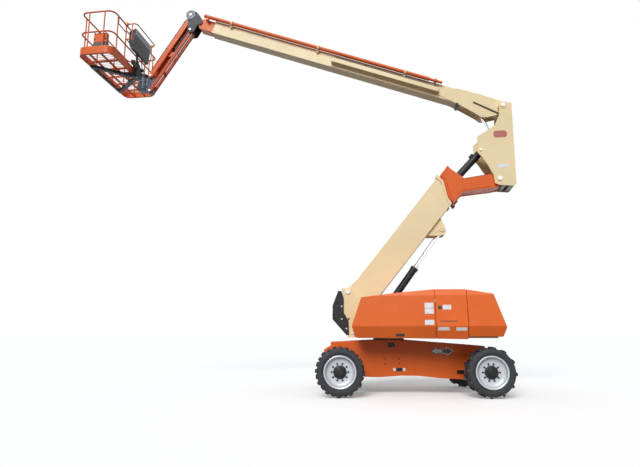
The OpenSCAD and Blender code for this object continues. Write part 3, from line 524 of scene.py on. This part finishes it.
def makeTyre(name, body, centre, side):
    half = machine["tyreWidth"] / 2
    inner, base = machine["rimRadius"], tyre["carcass"]
    wall = [(inner + 0.002, 0.0), (inner + 0.002, half - 0.030), (inner + 0.018, half - 0.022),
            (inner + 0.026, half - 0.016), (inner + 0.034, half - 0.018), (inner + 0.045, half - 0.008),
            (inner + 0.060, half - 0.003), (inner + 0.064, half - 0.0055), (base - 0.072, half - 0.001),
            (base - 0.045, half - 0.007), (base - 0.030, half - 0.013), (base - 0.014, half - 0.020),
            (base - 0.003, half - 0.034), (base, half - 0.050)]
    other = [(r, -a) for r, a in reversed(wall)]
    bm = bmesh.new()
    spun(bm, wall + other, (0, 0, 0), (0, 0, 1), 96)
    lug = bmesh.new()
    addLug(lug, half)
    bmesh.ops.rotate(lug, verts=lug.verts, matrix=Matrix.Rotation(math.radians(tyre["lean"]), 3, "X"))
    lugMesh = bpy.data.meshes.new("lug")
    lug.to_mesh(lugMesh)
    lug.free()
    for i in range(2 * tyre["lugs"]):
        known = len(bm.verts)
        bm.from_mesh(lugMesh)
        bm.verts.ensure_lookup_table()
        verts = bm.verts[known:]
        if i % 2:
            bmesh.ops.scale(bm, vec=(1, 1, -1), verts=verts)
        bmesh.ops.rotate(bm, verts=verts, matrix=Matrix.Rotation(math.pi * i / tyre["lugs"], 3, "Z"))
    bpy.data.meshes.remove(lugMesh)
    return finishPiece(bm, name, "tyreRubber", body, wheelPlace(centre, side))


def makeRim(name, body, centre, side):
    half, edge, face = machine["tyreWidth"] / 2, machine["rimRadius"], rim["face"]
    profile = [(edge - 0.022, -half + 0.005), (edge + 0.010, -half + 0.005), (edge + 0.013, -half + 0.012),
               (edge + 0.001, -half + 0.022), (edge + 0.001, half - 0.022), (edge + 0.013, half - 0.014),
               (edge + 0.013, half - 0.006), (edge + 0.006, half - 0.002), (edge - 0.006, half - 0.003),
               (edge - 0.018, half - 0.010), (edge - 0.022, half - 0.030), (edge - 0.032, half - 0.055),
               (edge - 0.036, half - 0.060), (edge - 0.070, half - 0.086), (edge - 0.078, half - 0.089),
               (edge - 0.110, half - 0.093), (0.160, face), (0.100, face), (0.100, face - 0.024),
               (edge - 0.090, face - 0.026), (edge - 0.022, half - 0.100), (edge - 0.022, -half + 0.005)]
    bm = bmesh.new()
    spun(bm, profile, (0, 0, 0), (0, 0, 1), 96)
    addRod(bm, (edge - 0.060, 0, half - 0.09), (edge - 0.052, 0, half - 0.045), 0.006, 12)
    piece = finishPiece(bm, name, "rimPaint", body, wheelPlace(centre, side))
    hub = bmesh.new()
    flange, cap = rim["hubRadius"], rim["capRadius"]
    profile = [(0.0, face - 0.02), (flange - 0.004, face - 0.02), (flange - 0.004, 0.116),
               (flange - 0.010, 0.121), (0.112, 0.123), (0.100, 0.128), (cap, 0.130), (cap - 0.003, 0.158),
               (cap - 0.012, 0.164), (0.030, 0.165), (0.0, 0.165)]
    spun(hub, profile, (0, 0, 0), (0, 0, 1), 64)
    for i in range(rim["nuts"]):
        angle = 2 * math.pi * i / rim["nuts"]
        at = Vector((rim["nutCircle"] * math.cos(angle), rim["nutCircle"] * math.sin(angle), face))
        addBolt(hub, at, (0, 0, 1), 0.019)
        lobe = at * 0.78
        addRod(hub, (lobe.x, lobe.y, face), (lobe.x, lobe.y, 0.119), 0.013, 12)
    for i in range(rim["capBolts"]):
        angle = 2 * math.pi * i / rim["capBolts"]
        circle = rim["capCircle"]
        addBolt(hub, (circle * math.cos(angle), circle * math.sin(angle), 0.164), (0, 0, 1), 0.008)
    finishPiece(hub, name.replace("rim", "hub"), "blackPaint", body, wheelPlace(centre, side))
    return piece


def makeWheels():
    for axle in ("drive", "steer"):
        for side, where in sides:
            wheel = f"{axle}_{where}"
            centre = pivots[f"wheel_{wheel}_spin"]
            lugged = makeTyre(f"tyre_{wheel}_lugged", "wheel_" + wheel, centre, side)
            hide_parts("tyre_" + wheel)
            pressed = makeRim(f"rim_{wheel}_pressed", "wheel_" + wheel, centre, side)
            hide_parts("rim_" + wheel)
    print("wheels made")


makeWheels()

# Hoods

hood = {"edge": 0.014, "crease": 1.43, "half": 1.2, "topY": 1.15, "topZ": 2.06, "lowY": 1.10, "lowZ": 1.15,
        "doorSeam": 0.96, "corner": 0.008}
latches = {
    # body without its side, centre along the hood, centre height, width, height
    "latch": ("hood_mid_", 1.057, 1.808, 0.074, 0.066),
    "latchFront": ("hood_front_", 0.244, 1.255, 0.178, 0.052),
}
grip = {"x": 1.225, "z": 1.530, "width": 0.350, "height": 0.016, "corner": 0.007, "proud": 0.0012}
plates = {
    # centre along the hood, centre height, width, height, thickness
    "upperPlate": (0.843, 1.850, 0.180, 0.110, 0.003),
    "middlePlate": (0.843, 1.734, 0.180, 0.108, 0.003),
    "lowerPlate": (0.839, 1.506, 0.186, 0.100, 0.003),
    "doorPlate": (1.200, 1.812, 0.165, 0.096, 0.003),
    "skirtPlateLeft": (1.118, 1.378, 0.228, 0.068, 0.003),
    "skirtPlateRight": (1.470, 1.372, 0.214, 0.068, 0.003),
}


def hoodPlace(x, z, side):
    # on the hood's flank, facing out; the flank leans in above and below its crease
    above = z > hood["crease"]
    edgeY, edgeZ = (hood["topY"], hood["topZ"]) if above else (hood["lowY"], hood["lowZ"])
    lean, rise = hood["half"] - edgeY, abs(edgeZ - hood["crease"])
    y = hood["half"] - lean * abs(z - hood["crease"]) / rise
    tilt = math.degrees(math.atan2(lean, rise)) * (1 if above else -1)
    return mirrored(slewed, side) @ Matrix.Translation((x, -y, z)) @ turned("X", -tilt)


def roundCorners(width, height, corner, steps=3):
    points = []
    for k, (sx, sz) in enumerate(((1, 1), (-1, 1), (-1, -1), (1, -1))):
        for i in range(steps + 1):
            angle = math.radians(90 * k + 90 * i / steps)
            points.append((sx * (width / 2 - corner) + corner * math.cos(angle),
                           sz * (height / 2 - corner) + corner * math.sin(angle)))
    return points


def makeHoods():
    for body in ("hood_front_near", "hood_front_far", "hood_mid_near", "hood_mid_far"):
        roundedCopy(body, "orangeCover", body, hood["edge"], 3)
    roundedCopy("counterweight", "orangeCover", "turntable", hood["edge"], 3)
    for name, (x, z, width, height, thick) in plates.items():
        body = "hood_front_near" if x < hood["doorSeam"] else "hood_mid_near"
        bm = bmesh.new()
        addOutline(bm, roundCorners(width, height, hood["corner"]), -thick, 0.001)
        finishPiece(bm, name, "paleLabel", body, hoodPlace(x, z, -1), 0.001)
    for side, where in sides:
        for name, (body, x, z, width, height) in latches.items():
            bm = bmesh.new()
            addOutline(bm, roundCorners(width, height, hood["corner"]), -0.010, 0.002)
            addOutline(bm, roundCorners(width * 0.72, height * 0.55, 0.006), -0.016, -0.008)
            finishPiece(bm, name + "_" + where, "darkPlastic", body + where, hoodPlace(x, z, side), 0.002)
        bm = bmesh.new()
        addOutline(bm, roundCorners(grip["width"], grip["height"], grip["corner"]), -grip["proud"], 0.001)
        place = hoodPlace(grip["x"], grip["z"], side)
        finishPiece(bm, "grip_" + where, "darkPlastic", "hood_mid_" + where, place)
    print("hoods made")


makeHoods()

# Chassis

chassis = {"flank": 0.45, "arrowLeft": 0.860, "arrowRight": 1.346, "arrowZ": 0.905, "arrowHalf": 0.098,
           "shaftHalf": 0.050, "borderWidth": 0.012, "tieX": 0.170, "tieZ": 0.514, "tieHalf": (0.066, 0.036),
           "markGap": 0.104, "markHalf": (0.028, 0.032), "hatch": (-0.075, 0.975, 0.098, 1.095),
           "step": (1.40, 0.440, 1.55, 0.505)}


def arrowOutline(tip, tail, z, half, shaft, grow=0.0):
    # an arrow from tail to tip, grown outwards all round
    way = 1 if tip > tail else -1
    neck = tip - way * 0.145
    return [(tail - way * grow, z - shaft - grow), (neck - way * grow, z - shaft - grow),
            (neck - way * grow, z - half - 2 * grow), (tip + way * 2 * grow, z),
            (neck - way * grow, z + half + 2 * grow), (neck - way * grow, z + shaft + grow),
            (tail - way * grow, z + shaft + grow)]


def makeChassisDetail():
    flank, z = chassis["flank"], chassis["arrowZ"]
    middle = (chassis["arrowLeft"] + chassis["arrowRight"]) / 2
    roundedCopy("chassis_frame", "orangePaint", "chassis", 0.006)
    arrows = (("paleArrow", chassis["arrowLeft"], "paleLabel", "darkLabel"),
              ("darkArrow", chassis["arrowRight"], "darkLabel", "paleLabel"))
    x, tie, gap = chassis["tieX"], chassis["tieZ"], chassis["markGap"]
    (slotX, slotZ), (markX, markZ) = chassis["tieHalf"], chassis["markHalf"]
    hatch, step = chassis["hatch"], chassis["step"]
    # a black box over each tie-down slot stands in for the shade inside the hole: painted shade
    slotShades = [((x - slotX, -flank - 0.002, tie - slotZ), (x + slotX, -flank + 0.001, tie + slotZ))]
    marks = [((x + dx - markX, -flank - 0.003, tie - markZ), (x + dx + markX, -flank + 0.001, tie + markZ))
             for dx in (-gap, gap)]
    # a black plate behind the hatch opening stands in for the shade inside it: painted shade
    hatchShades = [((hatch[0], -flank + 0.022, hatch[1]), (hatch[2], -flank + 0.026, hatch[3]))]
    steps = [((step[0], -flank - 0.040, step[1]), (step[2], -flank + 0.001, step[3]))]
    for side, where in sides:
        flip = mirrored(chassisFrame, side)
        for name, tip, inside, border in arrows:
            for part, finish, grow, depth in (("edge", border, 0.0, 0.0020),
                                              ("face", inside, -chassis["borderWidth"], 0.0035)):
                bm = bmesh.new()
                outline = arrowOutline(tip, middle, z, chassis["arrowHalf"], chassis["shaftHalf"], grow)
                addOutline(bm, outline, -flank - depth, -flank + 0.001)
                finishPiece(bm, f"{name}_{part}_{where}", finish, "chassis", flip)
        boxPiece("tieSlotShade_" + where, "blackPaint", "chassis", flip, slotShades)
        boxPiece("tieMarks_" + where, "paleLabel", "chassis", flip, marks)
        boxPiece("hatchShade_" + where, "blackPaint", "chassis", flip, hatchShades)
        boxPiece("stepBracket_" + where, "blackPaint", "chassis", flip, steps, 0.006)
    print("chassis detail made")


makeChassisDetail()

# Booms

pinRows = {
    # body: frame and, for each pin, its centre, half length over the plates and radius
    "turntable": (slewed, ((-0.886, 2.219, 0.309, 0.058), (-0.414, 1.322, 0.295, 0.038),
                           (-0.780, 1.300, 0.295, 0.046))),
    "upright": (uprightFrame, ((0, 0, 0.316, 0.050), (0.173, 1.773, 0.316, 0.045),
                               (-0.382, 0.703, 0.312, 0.028))),
    "jib_head": (headFrame, ((-0.2463, 0.2239, 0.170, 0.028), (-0.2463, -0.2061, 0.168, 0.028))),
    "platform_support": (platformFrame, ((0.229, -0.066, 0.118, 0.028), (0.229, -0.496, 0.118, 0.028))),
}

guardBolts = {"places": ((-1.030, 1.885), (-1.030, 1.600), (-0.930, 1.390)), "face": 0.3125, "radius": 0.017}


def addPinEnds(bm, x, z, half, radius):
    # a keeper plate with two bolts over each end of a pin
    for side in (-1, 1):
        out = Vector((0, side, 0))
        at = Vector((x, side * half, z))
        addRod(bm, at - out * 0.002, at + out * 0.010, radius, 32)
        addRod(bm, at + out * 0.010, at + out * 0.013, radius * 0.82, 32)
        for dz in (-0.5, 0.5):
            addBolt(bm, at + out * 0.013 + Vector((0, 0, dz * radius)), out, radius * 0.22)


def makePins():
    for body, (place, places) in pinRows.items():
        bm = bmesh.new()
        for x, z, half, radius in places:
            addPinEnds(bm, x, z, half, radius)
        finishPiece(bm, body + "PinEnds", "zincSteel", body, place)
    for side, where in sides:
        bm = bmesh.new()
        for x, z in guardBolts["places"]:
            addBolt(bm, (x, -guardBolts["face"], z), (0, -1, 0), guardBolts["radius"])
        finishPiece(bm, "guardBolts_" + where, "zincSteel", "turntable", mirrored(slewed, side))
    print("pins made")


makePins()

boom = {"half": 0.15, "top": 0.14, "bottom": -0.19, "length": 7.665}
trough = {"start": 1.520, "end": 4.280, "inner": -0.15, "outer": -0.276, "low": -0.105, "top": 0.0,
          "sheet": 0.005, "links": 38, "chainLength": 2.660, "linkHigh": 0.026, "pin": 0.008,
          "hoses": (-0.255, -0.232, -0.209, -0.188), "hoseRadius": 0.010}


def makeTrough():
    # open tray with its plastic chain
    s, e, t = trough["start"], trough["end"], trough["sheet"]
    inner, outer, low, top = trough["inner"], trough["outer"], trough["low"], trough["top"]
    walls = [((s, outer, low), (e, inner, low + t)), ((s, outer, low), (e, outer + t, top)),
             ((s, inner - t, low), (e, inner, top))]
    walls += [((x, outer, low), (x + t, inner, top)) for x in (s, e - t)]
    tray = boxPiece("hoseTray", "creamPaint", "main_base", boomFrame, walls)
    bm = bmesh.new()
    pitch, linkTop = trough["chainLength"] / trough["links"], trough["linkHigh"]
    left, right = outer + 0.012, inner - 0.012
    for i in range(trough["links"]):
        x = s + 0.025 + i * pitch
        for y in (left, right - 0.014):
            addBox(bm, (x, y, -0.060), (x + pitch - 0.006, y + 0.014, linkTop))
        addBox(bm, (x + pitch * 0.25, left, linkTop - 0.012), (x + pitch * 0.6, right, linkTop))
        addRod(bm, (x, left - 0.001, -0.02), (x, right + 0.001, -0.02), trough["pin"], 8)
    finishPiece(bm, "hoseChain", "darkPlastic", "main_base", boomFrame, 0.0015, 1)
    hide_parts("hose_trough")
    hoses = [[(s + 0.03, y, -0.045), (e - 0.03, y, -0.045)] for y in trough["hoses"]]
    tubes("trayHoses", hoses, trough["hoseRadius"], "blackRubber", "main_base", boomFrame)


def makeBooms():
    roundedCopy("tower_base", "creamPaint", "tower_base", 0.006)
    roundedCopy("tower_fly", "orangePaint", "tower_fly", 0.005)
    roundedCopy("upright", "creamPaint", "upright", 0.006)
    roundedCopy("main_base", "creamPaint", "main_base", 0.006)
    roundedCopy("main_fly", "orangePaint", "main_fly", 0.005)
    makeTrough()
    print("booms made")


makeBooms()

# Details on the tower boom, its knuckle, the upright and the main boom, in metres

seam = {"radius": 0.006, "knuckleFace": 0.239, "collarRadius": 0.004, "collarFace": 0.2575}
upright = {"face": 0.300, "label": (-0.045, 0.262, 0.215, 0.342), "badge": (-0.080, 0.980, 0.220, 1.145),
           "labelCorner": 0.010, "badgeCorner": 0.060, "boltHeights": (0.20, 0.55, 0.90, 1.25),
           "hoses": (-0.060, -0.030, 0.0, 0.030, 0.060), "hoseRadius": 0.012}


def makeTowerDetail():
    length, face = machine["towerLength"], seam["knuckleFace"]
    lines = [[(0.290, -0.050), (0.075, -0.068), (0.048, -0.160), (-0.205, -0.465), (-0.262, -0.620)],
             [(0.240, -0.460), (0.300, -0.500), (0.700, -0.880)],
             [(-0.130, -0.610), (0.045, -0.622), (0.500, -1.085)]]
    collar = [(-0.006, 0.048), (-0.036, -0.146), (-0.292, -0.452), (-0.352, -0.618)]
    pad = [((length - 0.322, -face - 0.006, -0.700), (length - 0.230, -face + 0.036, -0.655))]
    for side, where in sides:
        flip = mirrored(towerFrame, side)
        paths = [rounded([(length + u, -face, w) for u, w in line], 0.03) for line in lines]
        # seam lines in orange darkened as painted shade
        tubes("knuckleSeams_" + where, paths, seam["radius"], "shadedOrangePaint", "tower_fly", flip)
        boxPiece("knucklePad_" + where, "blackRubber", "tower_fly", flip, pad, 0.004)
        paths = [rounded([(length - 0.020 + u, -seam["collarFace"], w) for u, w in collar], 0.03)]
        tubes("collarSeams_" + where, paths, seam["collarRadius"], "creamPaint", "tower_base", flip)
        bm = bmesh.new()
        for u, w in ((length - 0.060, -0.010), (length - 0.375, -0.560)):
            addBolt(bm, (u, -seam["collarFace"] + 0.0005, w), (0, -1, 0), 0.011)
        for u in (length - 0.630, length - 0.490):
            for w in (-0.110, -0.240):
                addBolt(bm, (u, -machine["towerWidth"] / 2, w), (0, -1, 0), 0.009)
        finishPiece(bm, "towerBolts_" + where, "zincSteel", "tower_base", flip)
    print("tower detail made")


def makeUprightDetail():
    face = upright["face"]
    for name, finish, thick in (("label", "paleLabel", 0.002), ("badge", "dullRed", 0.0015)):
        x0, z0, x1, z1 = upright[name]
        bm = bmesh.new()
        place = uprightFrame @ Matrix.Translation(((x0 + x1) / 2, -face, (z0 + z1) / 2))
        addOutline(bm, roundCorners(x1 - x0, z1 - z0, upright[name + "Corner"], 5), -thick, 0.001)
        finishPiece(bm, "upright" + name.capitalize(), finish, "upright", place)
    bm = bmesh.new()
    for z in upright["boltHeights"]:
        for y in (-0.200, 0.200):
            addBolt(bm, (0.3375, y, z), (1, 0, 0), 0.012)
    finishPiece(bm, "uprightBolts", "zincSteel", "upright", uprightFrame)
    # lower cover plates between the side plates
    covers = [((0.060, -0.235, -0.150), (0.150, 0.235, -0.118)),
              ((0.205, -0.235, -0.165), (0.300, 0.235, -0.135))]
    boxPiece("uprightFoot", "greyPaint", "upright", uprightFrame, covers, 0.006)
    # hoses down the inside of the upright
    paths = [rounded([(0.230, y, -0.060), (0.290, y, 0.200), (0.295, y, 1.200),
                      (0.270, y, 1.480), (0.190, y, 1.640)], 0.2) for y in upright["hoses"]]
    tubes("uprightHoses", paths, upright["hoseRadius"], "blackRubber", "upright", uprightFrame)
    print("upright detail made")


def cylinderFrame(base, rod):
    # along the cylinder from its base pin towards its rod's eye
    start = pivots[base]
    along = Vector(next(j["axis"] for j in frame["joints"] if j["name"] == rod))
    across = Vector(next(j["axis"] for j in frame["joints"] if j["name"] == base))
    square = along.cross(across).normalized()
    turn = Matrix((along.normalized(), across.normalized(), square)).transposed().to_4x4()
    return Matrix.Translation(start) @ turn


cylinders = {
    # body: base joint, rod joint, barrel radius and length, size of the valve block and its turn
    "tower_lift_barrel": ("tower_lift_barrel_pivot", "tower_lift_rod_slide", 0.080, 1.77, 0.10, 90),
    "level_barrel": ("level_barrel_pivot", "level_rod_slide", 0.084, 1.08, 0.075, 0),
    "main_lift_barrel": ("main_lift_barrel_pivot", "main_lift_rod_slide", 0.070, 0.73, 0.08, 0),
    "jib_barrel": ("jib_barrel_pivot", "jib_rod_slide", 0.040, 0.93, 0.055, 0),
}


def makeCylinders():
    for body, (base, rod, radius, length, block, turn) in cylinders.items():
        place = cylinderFrame(base, rod) @ turned("X", turn)
        square = place.to_3x3().col[2]
        out = 1 if (square.y if turn else square.z) > 0 else -1
        bm = bmesh.new()
        for x in (radius * 1.3, length - 0.03):
            addRod(bm, (x, 0, 0), (x + 0.03, 0, 0), radius + 0.008, 40)
        foot, near, far = 0.10, out * (radius - 0.006), out * (radius + block * 0.55)
        addBox(bm, (foot, -block * 0.45, min(near, far)), (foot + block * 1.5, block * 0.45, max(near, far)))
        finishPiece(bm, body + "Block", "blackPaint", body, place, 0.004)
        bm = bmesh.new()
        for x in (foot + block * 0.4, foot + block * 1.1):
            addRod(bm, (x, 0, far - out * 0.002), (x, 0, far + out * 0.018), block * 0.17, 6)
        finishPiece(bm, body + "Fittings", "zincSteel", body, place)
        off = out * (radius + 0.016)
        pipe = [(foot + block * 1.45, 0, out * (radius + block * 0.25)), (foot + block * 1.9, 0, off),
                (length - 0.10, 0, off), (length - 0.05, 0, out * (radius + 0.002))]
        tubes(body + "Pipe", [rounded(pipe, 0.03)], 0.0075, "zincSteel", body, place)
    print("cylinders dressed")


def makeBoomDetail():
    half, length, top, bottom = boom["half"], boom["length"], boom["top"], boom["bottom"]
    strip = [(0.02, -0.185), (0.66, -0.085), (0.66, -0.050), (0.02, -0.145)]
    for side, where in sides:
        flip = mirrored(boomFrame, side)
        bm = bmesh.new()
        addOutline(bm, strip, -half - 0.0245, -half - 0.0095)
        finishPiece(bm, "boomStrip_" + where, "blackRubber", "main_base", flip, 0.004)
        bm = bmesh.new()
        for s in (length - 0.150, length - 0.060):
            for height in (-0.080, 0.010):
                addBolt(bm, (s, -half, height), (0, -1, 0), 0.009)
        finishPiece(bm, "boomPadBolts_" + where, "zincSteel", "main_base", flip)
    clamp = [((0.96, -0.160, -0.245), (1.03, 0.160, -0.186))]
    boxPiece("boomClamp", "blackPaint", "main_base", boomFrame, clamp, 0.005)
    lip, back = 0.006, length - 0.010
    mouth = [((back, -half - lip, bottom - lip), (length, half + lip, bottom + 0.010)),
             ((back, -half - lip, top - 0.010), (length, half + lip, top + lip))]
    mouth += [((back, y, bottom), (length, y + 0.016, top)) for y in (-half - lip, half - 0.010)]
    boxPiece("boomMouth", "creamPaint", "main_base", boomFrame, mouth, 0.002)
    print("boom detail made")


makeTowerDetail()
makeUprightDetail()
makeCylinders()
makeBoomDetail()

# Jib

jib = {"length": 1.96, "hose": 0.011, "hoseRows": (-0.100, -0.076, 0.076, 0.100),
       "clips": (0.24, 0.66, 1.10, 1.54, 1.76), "headRows": (-0.104, -0.080, 0.080, 0.104),
       "plateFace": 0.158, "headPin": (-0.2463, 0.2239), "octagon": 0.138, "inPlate": 0.145}


def makeJib():
    roundedCopy("jib_head", "blackPaint", "jib_head", 0.005)
    roundedCopy("jib_upper", "orangePaint", "jib_upper", 0.006)
    # the lower link in orange darkened as painted shade
    roundedCopy("jib_lower", "shadedOrangePaint", "jib_lower", 0.005)
    roundedCopy("platform_support", "blueGreyPaint", "platform_support", 0.006)
    # plates round the jib pin
    x, z = jib["headPin"]
    corners = [math.radians(22.5 + 45 * i) for i in range(8)]
    points = [(x + jib["octagon"] * math.cos(angle), z + jib["octagon"] * math.sin(angle))
              for angle in corners]
    for side, where in sides:
        bm = bmesh.new()
        addOutline(bm, points, -jib["plateFace"] - 0.010, -jib["plateFace"] + 0.001)
        place = mirrored(headFrame, side)
        finishPiece(bm, "headPlate_" + where, "blueGreyPaint", "jib_head", place, 0.003)
    # hoses clipped along the upper tubes
    end = jib["length"]
    paths = [[(0.16, y, -0.073), (0.20, y, -0.072), (end - 0.20, y, -0.072), (end - 0.14, y, -0.073)]
             for y in jib["hoseRows"]]
    tubes("jibHoses", paths, jib["hose"], "blackRubber", "jib_upper", jibFrame)
    clips = [((x, y - 0.030, -0.088), (x + 0.030, y + 0.030, -0.059))
             for x in jib["clips"] for y in (-0.088, 0.088)]
    boxPiece("jibHoseClips", "darkPlastic", "jib_upper", jibFrame, clips, 0.003)
    # hose loop over the head, down into its side plates
    loops = []
    for i, y in enumerate(jib["headRows"]):
        lift = 0.012 * (i % 2)
        inPlate = math.copysign(jib["inPlate"], y)
        loops.append(rounded([(0.03, y, 0.115), (-0.04, y, 0.225 + lift), (-0.14, y, 0.352 + lift),
                              (-0.30, y, 0.372 + lift), (-0.352, inPlate, 0.325),
                              (-0.325, inPlate, 0.265)], 0.08, steps=8))
    tubes("headHoses", loops, jib["hose"], "blackRubber", "jib_head", headFrame)
    print("jib made")


makeJib()

# Platform

platform = {
    "railIn": -0.290, "railTop": 1.150, "half": 1.20, "consoleFace": -0.2757, "consoleLow": -0.430,
    "consoleHigh": 0.400, "armLow": -0.0742, "box": (-0.790, -0.440), "boxTop": 0.575,
    "boxStraps": (-0.76, -0.47), "cables": (-0.20, -0.16, -0.12, 0.10), "cableRadius": 0.011,
    "footSwitch": (((-0.560, -0.12, 0.050), (-0.360, 0.03, 0.070)),
                   ((-0.545, -0.10, 0.070), (-0.400, 0.01, 0.098))),
}
console = {"sticks": (-0.28, 0.22), "buttons": 9, "tilt": 20.8, "plate": 0.004}


def makeConsole():
    face, top = platform["consoleFace"], platform["railTop"]
    low, high = platform["consoleLow"], platform["consoleHigh"]
    roundedCopy("control_box", "darkPlastic", "platform", 0.008)
    bm = bmesh.new()
    outline = [(face + 0.186, top - 0.215), (face + 0.199, top - 0.200), (face + 0.199, top - 0.036),
               (face + 0.174, top - 0.008), (face + 0.160, top - 0.012), (face + 0.186, top - 0.045)]
    addOutline(bm, outline, low - 0.012, high + 0.012)
    finishPiece(bm, "consoleCover", "paleGreyPaint", "platform", platformFrame, 0.004)
    panel = platformFrame @ Matrix.Translation((face + 0.093, 0, top - 0.081)) @ turned("Y", -console["tilt"])
    bm = bmesh.new()
    addBox(bm, (-0.080, low + 0.022, 0), (0.080, high - 0.022, console["plate"]))
    finishPiece(bm, "consolePanel", "paleGreyPaint", "platform", panel, 0.002)
    bm = bmesh.new()
    for y in console["sticks"]:
        addRod(bm, (0, y, 0), (0, y, 0.014), 0.034, 24, 0.024)
        addRod(bm, (0, y, 0.012), (0, y, 0.060), 0.006, 12)
        addRod(bm, (0, y, 0.052), (0, y, 0.086), 0.013, 16, 0.016)
    for i in range(console["buttons"]):
        y = -0.18 + 0.042 * i
        addRod(bm, (0.034, y, 0), (0.034, y, 0.010), 0.010, 16)
        addRod(bm, (0.034, y, 0.008), (0.030, y, 0.026), 0.003, 8)
    finishPiece(bm, "consoleSticks", "darkPlastic", "platform", panel, 0.001)
    bm = bmesh.new()
    addRod(bm, (-0.020, 0.330, 0), (-0.020, 0.330, 0.022), 0.012, 20)
    addRod(bm, (-0.020, 0.330, 0.020), (-0.020, 0.330, 0.034), 0.021, 24)
    finishPiece(bm, "stopButton", "redPlastic", "platform", panel, 0.002)


def makePlatform():
    top, half, railIn = platform["railTop"], platform["half"], platform["railIn"]
    roundedCopy("platform_toe_board", "orangePaint", "platform", 0.0015)
    makeConsole()
    # document box inside the near rail
    (x0, x1), high = platform["box"], platform["boxTop"]
    lid = [((x0, -half + 0.030, 0.330), (x1, -half + 0.130, high))]
    boxPiece("manualBox", "orangePaint", "platform", platformFrame, lid, 0.010)
    base = [((x0 - 0.005, -half + 0.028, 0.225), (x1 + 0.005, -half + 0.134, 0.335))]
    for x in platform["boxStraps"]:
        base += [((x - 0.012, -half + 0.006, 0.40), (x + 0.012, -half + 0.034, 0.43)),
                 ((x - 0.012, -half - 0.018, high), (x + 0.012, -half + 0.040, high + 0.008))]
    boxPiece("manualBoxBase", "greyPaint", "platform", platformFrame, base, 0.006)
    # yellow latches where the hoop joins the rail
    clasps = [((railIn - 0.035, -0.600, top - 0.005), (railIn + 0.045, -0.530, top + 0.075)),
              ((railIn + 0.130, 0.490, top), (railIn + 0.205, 0.545, top + 0.062))]
    boxPiece("railLatches", "yellowPlastic", "platform", platformFrame, clasps, 0.008)
    boxPiece("footSwitch", "darkPlastic", "platform", platformFrame, platform["footSwitch"], 0.006)
    # cables from the console to the rotator
    face = platform["consoleFace"]
    paths = []
    for i, y in enumerate(platform["cables"]):
        paths.append(rounded([(face + 0.11, y, top - 0.598), (face + 0.11, y, 0.40),
                              (face + 0.12 + 0.02 * i, y * 0.6, 0.22),
                              (face + 0.16 + 0.015 * i, y * 0.55, 0.02 + 0.01 * i)], 0.10))
    tubes("consoleCables", paths, platform["cableRadius"], "blackRubber", "platform", platformFrame)
    # bolts of the clamps that hold the arms to the floor frame
    bm = bmesh.new()
    for y in (-0.66, -0.30, 0.30, 0.66):
        x = -1.115 if abs(y) > 0.5 else -0.700
        for dy in (-0.035, 0.035):
            addBolt(bm, (x + 0.02, y + dy, platform["armLow"]), (0, 0, -1), 0.012)
    for x in (-0.330, -0.180):
        for y in (-0.075, 0.075):
            addBolt(bm, (x, y, platform["armLow"]), (0, 0, -1), 0.014)
    finishPiece(bm, "armBolts", "zincSteel", "platform", platformFrame)
    print("platform made")


rotator = {"rings": ((-0.470, -0.448), (-0.360, -0.340), (-0.230, -0.210), (-0.112, -0.090)),
           "ringRadius": 0.116, "bolts": 10, "boltCircle": 0.085, "hose": 0.010}


def makeRotator():
    bm = bmesh.new()
    for low, high in rotator["rings"]:
        addRod(bm, (0, 0, low), (0, 0, high), rotator["ringRadius"], 48)
    addBox(bm, (-0.150, -0.045, -0.330), (-0.090, 0.045, -0.240))
    finishPiece(bm, "rotatorRings", "blueGreyPaint", "platform_support", platformFrame, 0.003)
    bm = bmesh.new()
    circle = rotator["boltCircle"]
    for i in range(rotator["bolts"]):
        angle = 2 * math.pi * (i + 0.5) / rotator["bolts"]
        addBolt(bm, (circle * math.cos(angle), circle * math.sin(angle), -0.4765), (0, 0, -1), 0.010)
    for z in (-0.310, -0.262):
        addRod(bm, (-0.146, 0, z), (-0.172, 0, z), 0.013, 6)
    finishPiece(bm, "rotatorBolts", "zincSteel", "platform_support", platformFrame)
    routes = [[(-0.170, 0, -0.310), (-0.200, -0.02, -0.340), (-0.060, -0.150, -0.460),
               (0.150, -0.128, -0.440), (0.200, -0.126, -0.300), (0.205, -0.126, -0.160)],
              [(-0.170, 0, -0.262), (-0.210, 0.02, -0.290), (-0.060, 0.150, -0.430),
               (0.150, 0.128, -0.420), (0.200, 0.126, -0.300), (0.205, 0.126, -0.160)]]
    paths = [rounded(route, 0.09) for route in routes]
    tubes("rotatorHoses", paths, rotator["hose"], "blackRubber", "platform_support", platformFrame)
    print("rotator made")


makePlatform()
makeRotator()
